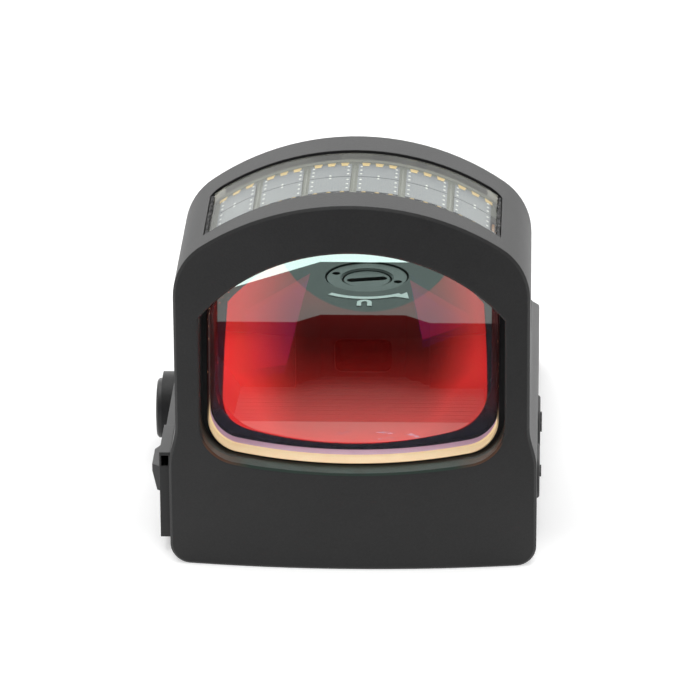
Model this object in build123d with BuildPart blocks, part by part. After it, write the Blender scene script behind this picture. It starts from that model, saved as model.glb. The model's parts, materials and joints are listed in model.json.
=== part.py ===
"""Compact open reflex red dot sight with a solar panel let into the crown of its hood.

Frame: millimetres, +Z up, the objective (target side) faces -Y and +X is to the right of someone
who looks at the objective. The origin lies on the base plane, midway between the two mounting
screw holes. Places along the sight are given as depths behind the corners of the front face.
A box is given as its range of X, its range of depths and its range of Z.
"""
import math
import os

from build123d import *

os.makedirs("parts", exist_ok=True)

# --- Overall size -------------------------------------------------------------------------------
LENGTH = 45.2
HEIGHT = 29.5
BASE_HALF = 14.0
FRONT_BOW = 1.19
BOW_R = (BASE_HALF**2 + FRONT_BOW**2) / (2 * FRONT_BOW)
MOUNT_DEPTH = 34.6
REAR_DEPTH = LENGTH - FRONT_BOW
BEYOND = 1.0
RUNNING_GAP = 0.05
SAME = 0.01

# --- Hood ---------------------------------------------------------------------------------------
HOOD_DEPTH = 14.9
HOOD_HALF = 13.44
CROWN_R = 19.45
CROWN_Z = HEIGHT - CROWN_R
HOOD_CORNER_R = 5.14
BASE_CORNER_R = 1.5
FLARE_LOW = 7.95
FLARE_HIGH = 11.3
FACE_CHAMFER = 0.2
WINDOW_CHAMFER = 0.15
HOOD_REAR_CHAMFER = 0.12

# --- Window and lens ----------------------------------------------------------------------------
WINDOW_HALF = 11.55
WINDOW_LOW = 7.93
WINDOW_TOP = 25.7
WINDOW_TOP_R = 14.7
WINDOW_SILL_R = 63.0
WINDOW_LOW_CORNER = 3.0
WINDOW_TOP_CORNER = 1.75
SEAL_GAP = 0.45
LENS_DROP = 0.35
SEAL_BEHIND = (0.3, 3.1)
SEAT_DEPTH = 5.2
LENS_R = 57.0
LENS_CENTRE_Z = 6.9
LENS_FRONT_DEPTH = 0.5
CROWN_GLASS = 1.7
FLINT_GLASS = 1.6

# --- Valley, deck and rear ----------------------------------------------------------------------
DECK_Z = 11.4
DECK_REAR = 35.4
SILL_Z = 6.5
SILL_DROP = 0.45
SIDE_RAMP = 2.25
SIDE_RISE = 4.0
GROOVE_START = 12.8
GROOVE_PITCH = 0.883
GROOVE_COUNT = 12
VALLEY_GROOVES = 9
GROOVE_DEPTH = 0.3
VALLEY_FOOT = 21.0
VALLEY_BACK = 21.7
RECESS_BACK = 23.37
RECESS_HALF = 3.4
RECESS_MOUTH = 5.35
REAR_TOP_Z = 7.45
REAR_EDGE_Z = 6.9
REAR_EDGE_RUN = 0.7
SADDLE_R = 5.6
PLAN_CORNER_R = 2.6
FACET_START = (4.5, 34.9)
FACET_END = (9.8, 30.2)
FACET_SLOPE = 29.0
FACET_REACH = (24.0, 40.0, 10.0)

# --- Mounting -----------------------------------------------------------------------------------
SCREW_SPACING = 21.1
SCREW_HOLE_R = 1.9
SCREW_HEAD_R = 3.3
SCREW_SEAT_Z = 4.6
SOCKET_R = 2.0
SOCKET_DEEP = 2.0
SOCKET_AHEAD = 10.0

# --- Solar panel --------------------------------------------------------------------------------
POCKET_DEPTHS = (2.07, 11.52)
PANEL_DEPTHS = (2.17, 11.25)
POCKET_HALF = 11.2
PANEL_HALF = 10.85
POCKET_CORNER = 1.0
PANEL_CORNER = 0.8
POCKET_FLOOR_R = 18.25
SUBSTRATE_R = 18.6
CELL_R = 18.75
COVER_LOW_R = 18.79
COVER_R = 19.3
SEAL_TOP_R = 19.28
PAD_TOP_R = 18.7
CELL_PITCH = 3.66
CELL_GAP = 0.55
CELL_COLUMNS = 6
CELLS_HALF = 10.35
CELL_ROWS = ((4.3, 7.45), (7.57, 10.3))
PAD_DEPTHS = (10.34, 10.78)
PAD_COUNT = 3
PAD_PITCH = 1.02
PAD_WIDTH = 0.6
PADS_HALF = 10.45
CROWN_ZONE = (20.0, HEIGHT)

# --- Flexible circuit of the solar panel and its duct -------------------------------------------
DUCT_BOXES = (
    ((10.3, 10.8), (5.0, 8.0), (24.0, 26.0)),
    ((10.3, 12.4), (5.0, 8.0), (24.0, 24.4)),
    ((12.0, 12.4), (5.0, 8.0), (5.0, 24.4)),
)
FLEX_NOTCH = ((10.2, 11.0), (4.9, 8.1), (20.0, 26.0))

# --- Elevation adjuster -------------------------------------------------------------------------
ELEV_DEPTH = 32.1
ELEV_CENTRE = (0, ELEV_DEPTH)
ELEV_BORE_R = 3.42
ELEV_FLOOR_Z = 9.3
ELEV_FLANGE_R = 2.9
ELEV_FLANGE_Z = (9.6, 10.15)
ELEV_HEAD_R = 1.98
ELEV_HEAD_TOP = 11.15
ELEV_SHAFT_LOW = 1.3
ELEV_SHAFT_BORE = (5.0, 12.0)
SCREW_SHAFT_R = 1.0
HEAD_CHAMFER = 0.12
SLOT_LENGTH = 3.3
SLOT_WIDTH = 0.8
SLOT_DEEP = 0.6
ELEV_SLOT_TURN = 11.0
RING_Z = (10.2, 11.3)
RING_FIT = 0.02
RING_CLEARANCE = 0.06
RING_CHAMFER = 0.15
SPANNER_R = 2.7
SPANNER_HOLE_R = 0.33
SPANNER_HOLE_LOW = 10.6
SPANNER_TURN = -20.0
ELEV_O_RING_Z = 9.87
CLICK_Z = (9.34, 9.54)
CLICK_OUTER = 0.1
CLICK_INNER = 0.2
CLICK_WINDOW_R = 0.5
CLICK_WINDOW_AT = 2.0
CLICK_TURNS = (45, 135, 225, 315)

CARRIAGE_BASE = 3.6
CARRIAGE_BOXES = (
    ((-6.9, 6.9), (29.7, 34.4), (CARRIAGE_BASE, 6.4)),
    ((-5.0, 5.0), (28.9, 29.7), (4.6, 5.4)),
    ((-5.0, 5.0), (28.1, 28.9), (4.0, 6.0)),
)
SPRING_CUP_R = 2.1
SPRING_CUP_DEEP = 0.5
SPRING_R = 1.65
SPRING_WIRE_R = 0.2
SPRING_BASE = 1.05
SPRING_TURNS = 4

# --- Elevation marks ----------------------------------------------------------------------------
MARK_HIGH = 0.04
MARK_RADII = (4.72, 5.22)
MARK_START = 235
MARK_SWEEP = 70
MARK_ARROW = ((2.45, 27.45), (3.35, 28.45), (3.55, 27.05))
MARK_LEG_X = 0.42
MARK_LEG_DEPTH = 25.75
MARK_LEG_SIZE = (0.36, 0.8)
MARK_BEND_DEPTH = 26.1
MARK_BEND_RADII = (0.24, 0.6)

# --- Windage adjuster ---------------------------------------------------------------------------
WIND_DEPTH = 22.6
WIND_Z = 3.6
WIND_BOSS_R = 2.95
WIND_BOSS_X = (-16.05, -13.5)
WIND_CAP_X = -16.5
WIND_BORE_R = 2.42
WIND_BORE_X = -14.55
WIND_FLANGE_R = 2.0
WIND_FLANGE_X = (-15.3, -14.8)
WIND_HEAD_R = 1.25
WIND_HEAD_X = -16.4
WIND_SHAFT_R = 0.8
WIND_SHAFT_END = -3.3
WIND_SHAFT_BORE = (-15.0, -6.0)
WIND_SLOT = (2.1, 0.45, 0.6)
WIND_RING_X = -15.35
WIND_HOLE_R = 0.24
WIND_HOLE_AT = 1.85
WIND_HOLE_X = -16.0
WIND_O_RING_X = -15.05
WIND_O_RING_FIT = 0.015
WIND_CLICK_X = (-14.76, -14.58)
WIND_CLICK_INNER = 0.15
NUT_X = (-5.9, -4.3)
NUT_HALF = 1.1

# --- Emitter ------------------------------------------------------------------------------------
EMITTER_Z = 7.9
PANE_POCKET = (4.6, 2.8, 0.6)
PANE_POCKET_DEPTHS = (22.87, 24.07)
PANE_SIZE = (4.56, 2.76, 0.58)
PANE_DEPTHS = (23.47, 24.07)
APERTURE = (3.6, 1.8, 0.5)
APERTURE_DEEP = 2.0
HOLDER_BOXES = (
    ((-3.6, 3.6), (26.2, 28.0), (3.2, 9.4)),
    ((-3.6, 3.6), (26.2, 29.5), (3.2, 8.0)),
)
HOLDER_GROOVES = (
    ((-7.0, 7.0), (28.85, 29.6), (4.55, 5.45)),
    ((-7.0, 7.0), (28.05, 28.95), (3.95, 6.05)),
)
HOLDER_ARM = ((-6.6, -3.3), (23.9, 27.5), (2.4, 4.7))
FORK_CHEEKS = ((-6.6, -5.95), (-4.25, -3.6))
FORK_DEPTHS = (21.5, 24.3)
FORK_Z = (2.0, 4.7)
FORK_SLOT_HALF = 0.9
FORK_SLOT_Z = (2.45, 5.0)
EMITTER_BOARD = ((-1.9, 1.9), (25.85, 26.2), (6.2, 9.3))
LED_BODY = ((-0.8, 0.8), (25.35, 25.85), (7.1, 8.7))
LED_DOME = (0.45, 0.15, 20)

# --- Cavity, bottom cover and switch bay --------------------------------------------------------
CAVITY_HALF = 7.0
CAVITY_DEPTHS = (21.3, 41.5)
CAVITY_BOXES = (
    ((-CAVITY_HALF, CAVITY_HALF), (21.3, 24.9), (0.0, 5.2)),
    ((-CAVITY_HALF, CAVITY_HALF), (24.9, 28.4), (0.0, 9.8)),
    ((-CAVITY_HALF, CAVITY_HALF), (28.3, 35.6), (0.0, 8.4)),
    ((-CAVITY_HALF, CAVITY_HALF), (35.5, 41.5), (0.0, 6.2)),
)
COVER_HALF = 8.0
COVER_DEPTHS = (18.9, 43.5)
COVER_SEAT = 1.0
COVER_THICK = 0.8
COVER_FIT = 0.1
COVER_SCREWS = [(x, depth) for x in (-5.5, 5.5) for depth in (20.1, 42.3)]
COVER_TAP_R = 0.65
COVER_TAP_Z = 3.2
COVER_HOLE_R = 0.7
COVER_SINK_R = 1.15
COVER_SINK_Z = 0.4
GASKET_HOLE_R = 0.75
COVER_HEAD = (1.1, (0.05, 0.39))
COVER_SHANK = (0.6, (0.3, 2.9))
COVER_DRIVE = (0.5, 0.25)
BUTTON_WALL_X = 12.95
SWITCH_BAY = ((8.9, BUTTON_WALL_X), (4.0, 22.0), (1.15, 5.4))
BAY_LINK = ((6.0, 9.5), (21.3, 22.0), (1.5, 4.8))

# --- Small parts made of plain boxes ------------------------------------------------------------
SMALL_PARTS = {
    "solar_flex": (
        ((10.45, 10.65), (5.3, 7.7), (24.1, 24.9)),
        ((10.45, 12.3), (5.3, 7.7), (24.1, 24.3)),
        ((12.1, 12.3), (5.3, 7.7), (5.1, 24.3)),
        ((9.6, 12.3), (5.3, 7.7), (5.1, 5.25)),
    ),
    "emitter_board": (EMITTER_BOARD,),
    "control_chip": (((2.6, 6.0), (36.5, 39.9), (1.95, 2.75)),),
    "motion_sensor": (((-5.6, -3.6), (37.2, 39.2), (1.95, 2.85)),),
    "flex_connector": (((0.2, 4.6), (26.0, 27.2), (1.95, 2.75)),),
    "emitter_flex": (
        ((1.2, 3.4), (25.35, 25.5), (1.98, 6.6)),
        ((1.2, 3.4), (25.35, 26.0), (1.98, 2.13)),
    ),
    "switch_board": (((9.4, 10.2), (4.4, 21.8), (1.5, 5.1)),),
    "positive_contact": (
        ((5.2, 5.4), (9.4, 12.0), (2.1, 4.6)),
        ((4.0, 5.3), (10.3, 11.1), (3.2, 3.4)),
    ),
    "negative_contact": (
        ((-5.0, 5.5), (9.9, 11.5), (5.12, 5.24)),
        ((5.4, 5.55), (9.9, 11.5), (4.7, 5.24)),
    ),
}
MAIN_BOARD = ((-6.8, 6.8), (25.6, 41.3), (1.15, 1.95))
BOARD_HOLE_R = 2.1

# --- Battery tray -------------------------------------------------------------------------------
CELL_RADIUS = 7.95
CELL_THICK = 3.2
CELL_RIM = (0.35, 0.25)
CELL_CENTRE = (-4.0, 10.7)
CELL_LOW = 1.8
CELL_ROOM = 0.08
CELL_FILLET = 0.25
TRAY_DEPTHS = (2.65, 18.75)
TRAY_FLOOR_Z = 1.25
TRAY_THICK = 0.5
TRAY_RIM_Z = 4.6
TRAY_X = (-12.8, 4.3)
TRAY_OPEN_TOP = 6.0
TRAY_MOUTH = ((0.0, 5.0), (8.0, 13.4))
BAY_END_X = 5.6
BAY_Z = (1.15, 5.3)
BAY_GAP = 0.05
CONTACT_SLOT = ((4.6, 9.5), (9.2, 12.2), (2.0, 4.8))
PLATE_X = -14.9
PLATE_FIT = 0.03
PLATE_OUTLINE = ((2.4, 1.1), (18.9, 1.1), (18.9, 7.2), (9.5, 7.2), (8.0, 8.1), (2.4, 8.1))
LIP_Z = (4.9, 6.9)
LIP_OUTLINE = ((PLATE_X + 0.1, 2.4), (-15.5, 3.0), (-15.5, 6.0), (PLATE_X + 0.1, 7.4))
LIP_BEVEL = ((-15.0, 4.4), (-16.2, 4.4), (-16.2, 7.0), (-15.56, 6.6))
LIP_BEVEL_DEPTH = 9.0
SCOOP = ((-14.75, -14.2), (2.0, 6.4), (7.0, 7.85))
NECK_X = (-14.1, -12.7)
NECK_Z = (TRAY_FLOOR_Z, 5.2)
GROOVE_X = (-13.75, -13.25)
SEAL_GROOVES = (
    (GROOVE_X, (1.0, 20.0), (0.0, 1.55)),
    (GROOVE_X, (1.0, 20.0), (4.9, 5.29)),
    (GROOVE_X, (1.0, 2.95), (0.0, 5.29)),
    (GROOVE_X, (18.45, 20.0), (0.0, 5.29)),
)
SEAL_OUTER = ((-13.72, -13.28), (2.62, 18.78), (1.17, 5.28))
SEAL_INNER = ((-14.0, -13.0), (2.93, 18.47), (1.53, 4.92))
TRAY_SCREW_DEPTH = 15.6
TRAY_SCREW_Z = 6.2
TRAY_TAP_R = 0.65
TRAY_TAP_X = -11.9
TRAY_SINK_R = 0.86
TRAY_SINK_X = -14.4
TRAY_HEAD = (0.8, (-14.95, -14.45))
TRAY_SHANK = (0.6, (-14.5, -12.1))
TRAY_DRIVE = (0.42, 0.45)

# --- Buttons ------------------------------------------------------------------------------------
BUTTON_DEPTHS = {"dimmer": 8.75, "brighter": 18.8}
BUTTON_Z = 4.2
BUTTON_LONG = 6.0
BUTTON_HIGH = 3.2
BUTTON_X = (12.8, 14.2)
BUTTON_GAP = 0.06
BUTTON_FILLET = 0.25
COLLAR_X = (12.4, 12.85)
COLLAR_SIZE = (6.5, 1.6)
COLLAR_ROOM = ((11.6, BUTTON_WALL_X), (-3.5, 3.2), (2.0, 6.0))
STEM_R = 0.9
STEM_X = (12.05, 12.5)
SIGN_X = (14.1, 14.32)
SIGN_LONG = 0.8
SIGN_THIN = 0.16
SWITCH_X = (10.2, 11.25)
SWITCH_HALF = 1.6
SWITCH_Z = (2.6, 5.05)
PLUNGER_R = 0.8
PLUNGER_X = (11.2, 11.6)
PLUNGER_Z = 4.1


def back(depth):
    """Row Y of a depth behind the front face's corners."""
    return depth - MOUNT_DEPTH


def plan_points(points):
    """Points given as (x, depth) in the plan view."""
    return [(x, back(depth)) for x, depth in points]


def side_points(points):
    """Points given as (depth, z) in the side view."""
    return [(back(depth), z) for depth, z in points]


def front_plane(depth, drop=0.0):
    """Plane across the sight at a depth, seen from the objective side, lowered by a drop."""
    return Plane(origin=(0, back(depth), -drop), x_dir=(1, 0, 0), z_dir=(0, -1, 0))


def block(x_range, depths, z_range, mode=Mode.ADD):
    """Box between two sides, two depths and two heights."""
    middle = (sum(x_range) / 2, back(sum(depths) / 2), sum(z_range) / 2)
    with Locations(middle):
        Box(
            x_range[1] - x_range[0],
            depths[1] - depths[0],
            z_range[1] - z_range[0],
            mode=mode,
        )


def rod_x(radius, x_range, depth, height, mode=Mode.ADD):
    """Cylinder along X."""
    with BuildSketch(Plane.YZ.offset(x_range[0])) as end:
        with Locations((back(depth), height)):
            Circle(radius)
    extrude(end.sketch, amount=x_range[1] - x_range[0], mode=mode)


def rod_z(radius, centre, z_range, mode=Mode.ADD):
    """Cylinder along Z whose centre is given as (x, depth)."""
    with BuildSketch(Plane.XY.offset(z_range[0])) as end:
        with Locations((centre[0], back(centre[1]))):
            Circle(radius)
    extrude(end.sketch, amount=z_range[1] - z_range[0], mode=mode)


def oval_x(length, height, x_range, depth, z, mode=Mode.ADD):
    """Oval bar along X, long in depth."""
    with BuildSketch(Plane.YZ.offset(x_range[0])) as end:
        with Locations((back(depth), z)):
            SlotOverall(length, height)
    extrude(end.sketch, amount=x_range[1] - x_range[0], mode=mode)


def hexagon(plane, centre, radius, deep):
    """Hexagonal drive cut into a screw head, from a plane inwards."""
    with BuildSketch(plane) as drive:
        with Locations(centre):
            RegularPolygon(radius, 6)
    extrude(drive.sketch, amount=deep, mode=Mode.SUBTRACT)


def pane(size, depths, mode=Mode.ADD):
    """Rounded rectangle across the emitter's beam, given as (width, height, corner)."""
    with BuildSketch(front_plane(depths[0])) as opening:
        with Locations((0, EMITTER_Z)):
            RectangleRounded(*size)
    extrude(opening.sketch, amount=depths[0] - depths[1], mode=mode)


def o_ring(bore_r, shaft_r, fit, centre, axis_direction, outward):
    """Ring of round section that fills the gap between a shaft and its bore."""
    section = Plane(origin=centre, x_dir=outward, z_dir=(0, -1, 0))
    with BuildSketch(section) as wire:
        with Locations(((bore_r + shaft_r) / 2, 0)):
            Circle((bore_r - shaft_r) / 2 - fit)
    revolve(wire.sketch, axis=Axis(centre, axis_direction))


def window_outline(inset):
    """Window opening: arched top, upright sides, rounded sill, drawn in the current sketch."""
    sill = WINDOW_LOW + WINDOW_SILL_R - math.sqrt(WINDOW_SILL_R**2 - WINDOW_HALF**2)
    arch_z = WINDOW_TOP - WINDOW_TOP_R
    shoulder = arch_z + math.sqrt(WINDOW_TOP_R**2 - WINDOW_HALF**2)
    with BuildLine() as outline:
        ThreePointArc((-WINDOW_HALF, sill), (0, WINDOW_LOW), (WINDOW_HALF, sill))
        Line((WINDOW_HALF, sill), (WINDOW_HALF, shoulder))
        ThreePointArc((WINDOW_HALF, shoulder), (0, WINDOW_TOP), (-WINDOW_HALF, shoulder))
        Line((-WINDOW_HALF, shoulder), (-WINDOW_HALF, sill))
    face = make_face(outline.edges())
    corners = face.vertices().sort_by(Axis.Y)
    fillet(corners[:2], WINDOW_LOW_CORNER)
    fillet(corners[2:], WINDOW_TOP_CORNER)
    if inset:
        offset(amount=-inset, mode=Mode.REPLACE)


def window_bar(inset, start, length, mode=Mode.ADD, drop=0.0):
    """Bar of the window's outline, from a depth towards the rear, lowered by a drop."""
    with BuildSketch(front_plane(start, drop)) as opening:
        window_outline(inset)
    extrude(opening.sketch, amount=-length, mode=mode)


def lens_sphere(depth_behind, mode):
    """Spherical surface of the lens group, a distance behind its front surface."""
    rise = WINDOW_LOW + SEAL_GAP - LENS_DROP - LENS_CENTRE_Z
    centre_depth = LENS_FRONT_DEPTH + math.sqrt(LENS_R**2 - rise**2) + depth_behind
    with Locations((0, back(centre_depth), LENS_CENTRE_Z)):
        Sphere(LENS_R, mode=mode)


def crown_layer(half_width, depths, radii, corner):
    """Sheet that follows the crown between two radii, with its rear corners rounded."""
    with BuildSketch(Plane.XY.offset(CROWN_Z)) as plan:
        with Locations((0, back(sum(depths) / 2))):
            sheet = Rectangle(2 * half_width, depths[1] - depths[0])
        if corner:
            fillet(sheet.vertices().sort_by(Axis.Y)[2:], corner)
    extrude(plan.sketch, amount=CROWN_R + BEYOND)
    for radius, mode in ((radii[1], Mode.INTERSECT), (radii[0], Mode.SUBTRACT)):
        with BuildSketch(front_plane(0)) as crown:
            with Locations((0, CROWN_Z)):
                Circle(radius)
        extrude(crown.sketch, amount=-HOOD_DEPTH, mode=mode)


def finish(builder, name):
    """Label a sub-part and write its STEP file."""
    builder.part.label = name
    export_step(builder.part, f"parts/{name}.step")


# === Cutting tools shared by the housing's features ==============================================
def groove_points(first, last):
    """Saw-tooth line of the anti-glare grooves, from one groove's number to another's."""
    points = []
    fall = SILL_DROP / GROOVE_COUNT
    for index in range(first, last):
        depth = GROOVE_START + GROOVE_PITCH * index
        height = SILL_Z - fall * index
        points.append((depth, height - GROOVE_DEPTH))
        points.append((depth + GROOVE_PITCH, height - fall))
    return points


valley_side = [
    (SEAT_DEPTH, HEIGHT),
    (SEAT_DEPTH, SILL_Z),
    (GROOVE_START, SILL_Z),
    *groove_points(0, VALLEY_GROOVES),
    (VALLEY_FOOT, SILL_Z - SILL_DROP),
    (VALLEY_BACK, DECK_Z),
    (VALLEY_BACK, HEIGHT),
]
valley_foot = WINDOW_HALF - SIDE_RAMP
valley_front = [
    (-WINDOW_HALF, SILL_Z + SIDE_RAMP + SIDE_RISE),
    (-WINDOW_HALF, SILL_Z + SIDE_RAMP),
    (-valley_foot, SILL_Z - BEYOND),
    (valley_foot, SILL_Z - BEYOND),
    (WINDOW_HALF, SILL_Z + SIDE_RAMP),
    (WINDOW_HALF, SILL_Z + SIDE_RAMP + SIDE_RISE),
]
with BuildPart() as valley_tool:
    with BuildSketch(Plane.YZ):
        with BuildLine():
            Polyline(*side_points(valley_side), close=True)
        make_face()
    extrude(amount=BASE_HALF, both=True)
    with BuildSketch(front_plane(SEAT_DEPTH)):
        window_outline(0)
        with BuildLine():
            Polyline(*valley_front, close=True)
        make_face()
    extrude(amount=-(VALLEY_BACK - SEAT_DEPTH + BEYOND), mode=Mode.INTERSECT)

recess_side = [
    (VALLEY_FOOT - BEYOND, DECK_Z + BEYOND),
    *groove_points(VALLEY_GROOVES, GROOVE_COUNT),
    (RECESS_BACK, SILL_Z - SILL_DROP),
    (RECESS_BACK, DECK_Z + BEYOND),
]
recess_plan = [
    (-RECESS_MOUTH, VALLEY_FOOT - BEYOND),
    (-RECESS_MOUTH, VALLEY_BACK),
    (-RECESS_HALF, RECESS_BACK),
    (RECESS_HALF, RECESS_BACK),
    (RECESS_MOUTH, VALLEY_BACK),
    (RECESS_MOUTH, VALLEY_FOOT - BEYOND),
]
with BuildPart() as recess_tool:
    with BuildSketch(Plane.YZ):
        with BuildLine():
            Polyline(*side_points(recess_side), close=True)
        make_face()
    extrude(amount=BASE_HALF, both=True)
    with BuildSketch(Plane.XY):
        with BuildLine():
            Polyline(*plan_points(recess_plan), close=True)
        make_face()
    extrude(amount=HEIGHT, mode=Mode.INTERSECT)

with BuildPart() as solar_pocket_tool:
    crown_layer(POCKET_HALF, POCKET_DEPTHS, (POCKET_FLOOR_R, CROWN_R + BEYOND), POCKET_CORNER)


# === Housing =====================================================================================
corner_x = HOOD_HALF - HOOD_CORNER_R
corner_z = CROWN_Z + math.sqrt((CROWN_R - HOOD_CORNER_R) ** 2 - corner_x**2)
corner_angle = math.degrees(math.atan2(corner_z - CROWN_Z, corner_x))
base_x = BASE_HALF - BASE_CORNER_R
rear_x = BASE_HALF - PLAN_CORNER_R
rear_y = back(REAR_DEPTH - PLAN_CORNER_R)
ahead = -FRONT_BOW - BEYOND

with BuildPart() as housing:
    # Front view: base, flared flanks, upright hood sides and crown.
    with BuildSketch(front_plane(ahead)):
        with BuildLine():
            Line((0, 0), (base_x, 0))
            CenterArc((base_x, BASE_CORNER_R), BASE_CORNER_R, -90, 90)
            Line((BASE_HALF, BASE_CORNER_R), (BASE_HALF, FLARE_LOW))
            Spline(
                (BASE_HALF, FLARE_LOW),
                (HOOD_HALF, FLARE_HIGH),
                tangents=[(0, 1), (0, 1)],
            )
            Line((HOOD_HALF, FLARE_HIGH), (HOOD_HALF, corner_z))
            CenterArc((corner_x, corner_z), HOOD_CORNER_R, 0, corner_angle)
            CenterArc((0, CROWN_Z), CROWN_R, corner_angle, 90 - corner_angle)
            mirror(about=Plane.YZ)
        make_face()
    extrude(amount=-(LENGTH + 2 * BEYOND))
    # Side view: hood, saddle down to the deck, sloping tail.
    with BuildSketch(Plane.YZ):
        with BuildLine():
            Polyline(
                (back(ahead), 0),
                (back(ahead), HEIGHT + BEYOND),
                (back(HOOD_DEPTH), HEIGHT + BEYOND),
                (back(HOOD_DEPTH), DECK_Z + SADDLE_R),
            )
            CenterArc((back(HOOD_DEPTH + SADDLE_R), DECK_Z + SADDLE_R), SADDLE_R, 180, 90)
            Polyline(
                (back(HOOD_DEPTH + SADDLE_R), DECK_Z),
                (back(DECK_REAR), DECK_Z),
                (back(REAR_DEPTH - REAR_EDGE_RUN), REAR_TOP_Z),
                (back(REAR_DEPTH), REAR_EDGE_Z),
                (back(REAR_DEPTH), 0),
                (back(ahead), 0),
            )
        make_face()
    extrude(amount=BASE_HALF + BEYOND, both=True, mode=Mode.INTERSECT)
    # Plan: bowed front face and rounded rear corners.
    with BuildSketch(Plane.XY):
        with BuildLine():
            ThreePointArc((-BASE_HALF, back(0)), (0, back(-FRONT_BOW)), (BASE_HALF, back(0)))
            Line((BASE_HALF, back(0)), (BASE_HALF, rear_y))
            CenterArc((rear_x, rear_y), PLAN_CORNER_R, 0, 90)
            Line((rear_x, back(REAR_DEPTH)), (-rear_x, back(REAR_DEPTH)))
            CenterArc((-rear_x, rear_y), PLAN_CORNER_R, 90, 90)
            Line((-BASE_HALF, rear_y), (-BASE_HALF, back(0)))
        make_face()
    extrude(amount=HEIGHT + BEYOND, mode=Mode.INTERSECT)
    # Facets that fall away from the deck to the rear corners.
    run = math.hypot(FACET_END[0] - FACET_START[0], FACET_END[1] - FACET_START[1])
    out_x = (FACET_START[1] - FACET_END[1]) / run
    out_y = (FACET_END[0] - FACET_START[0]) / run
    slope = math.radians(FACET_SLOPE)
    for side in (-1, 1):
        facet = Plane(
            origin=(side * FACET_START[0], back(FACET_START[1]), DECK_Z),
            x_dir=(side * out_x * math.cos(slope), out_y * math.cos(slope), -math.sin(slope)),
            z_dir=(side * out_x * math.sin(slope), out_y * math.sin(slope), math.cos(slope)),
        )
        with BuildSketch(facet):
            Rectangle(*FACET_REACH[:2], align=(Align.MIN, Align.CENTER))
        extrude(amount=FACET_REACH[2], mode=Mode.SUBTRACT)
    # Boss of the windage adjuster on the -X flank.
    rod_x(WIND_BOSS_R, WIND_BOSS_X, WIND_DEPTH, WIND_Z)
    # Window, valley behind it and emitter recess.
    window_bar(0, ahead, SEAT_DEPTH - ahead + SAME, Mode.SUBTRACT)
    add(valley_tool.part, mode=Mode.SUBTRACT)
    add(recess_tool.part, mode=Mode.SUBTRACT)
    # Solar pocket and the duct for its flexible circuit.
    add(solar_pocket_tool.part, mode=Mode.SUBTRACT)
    for box in DUCT_BOXES:
        block(*box, Mode.SUBTRACT)
    # Electronics cavity, its opening for the bottom cover, and the switch bay.
    block((-COVER_HALF, COVER_HALF), COVER_DEPTHS, (-BEYOND, COVER_SEAT), Mode.SUBTRACT)
    for box in (*CAVITY_BOXES, SWITCH_BAY, BAY_LINK):
        block(*box, Mode.SUBTRACT)
    for screw in COVER_SCREWS:
        rod_z(COVER_TAP_R, screw, (0, COVER_TAP_Z), Mode.SUBTRACT)
    # Battery bay, its contact slot and the thread of the tray screw.
    bay_depths = (TRAY_DEPTHS[0] - BAY_GAP, TRAY_DEPTHS[1] + BAY_GAP)
    block((-BASE_HALF - BEYOND, BAY_END_X), bay_depths, BAY_Z, Mode.SUBTRACT)
    block(*CONTACT_SLOT, Mode.SUBTRACT)
    rod_x(
        TRAY_TAP_R,
        (-BASE_HALF - BEYOND, TRAY_TAP_X),
        TRAY_SCREW_DEPTH,
        TRAY_SCREW_Z,
        Mode.SUBTRACT,
    )
    # Emitter window: a pocket from the front and an aperture behind it.
    pane(PANE_POCKET, PANE_POCKET_DEPTHS, Mode.SUBTRACT)
    pane(APERTURE, (RECESS_BACK, RECESS_BACK + APERTURE_DEEP), Mode.SUBTRACT)
    # Elevation adjuster bore from the deck.
    rod_z(ELEV_BORE_R, ELEV_CENTRE, (ELEV_FLOOR_Z, HEIGHT), Mode.SUBTRACT)
    rod_z(SCREW_SHAFT_R + RUNNING_GAP, ELEV_CENTRE, ELEV_SHAFT_BORE, Mode.SUBTRACT)
    # Windage adjuster bore from the flank.
    rod_x(
        WIND_BORE_R, (WIND_BOSS_X[0] - BEYOND, WIND_BORE_X), WIND_DEPTH, WIND_Z, Mode.SUBTRACT
    )
    rod_x(WIND_SHAFT_R + RUNNING_GAP, WIND_SHAFT_BORE, WIND_DEPTH, WIND_Z, Mode.SUBTRACT)
    # Button openings, with room for each button's collar behind the wall.
    for depth in BUTTON_DEPTHS.values():
        room_x, room_depths, room_z = COLLAR_ROOM
        block(room_x, [depth + along for along in room_depths], room_z, Mode.SUBTRACT)
        oval_x(
            BUTTON_LONG + 2 * BUTTON_GAP,
            BUTTON_HIGH + 2 * BUTTON_GAP,
            (BUTTON_WALL_X - BUTTON_GAP, BASE_HALF + BEYOND),
            depth,
            BUTTON_Z,
            Mode.SUBTRACT,
        )
    # Mounting screw holes, counterbored from above, and blind locating sockets.
    for x in (-SCREW_SPACING / 2, SCREW_SPACING / 2):
        rod_z(SCREW_HOLE_R, (x, MOUNT_DEPTH), (-BEYOND, HEIGHT), Mode.SUBTRACT)
        rod_z(SCREW_HEAD_R, (x, MOUNT_DEPTH), (SCREW_SEAT_Z, HEIGHT), Mode.SUBTRACT)
        rod_z(SOCKET_R, (x, MOUNT_DEPTH - SOCKET_AHEAD), (-BEYOND, SOCKET_DEEP), Mode.SUBTRACT)
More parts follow.
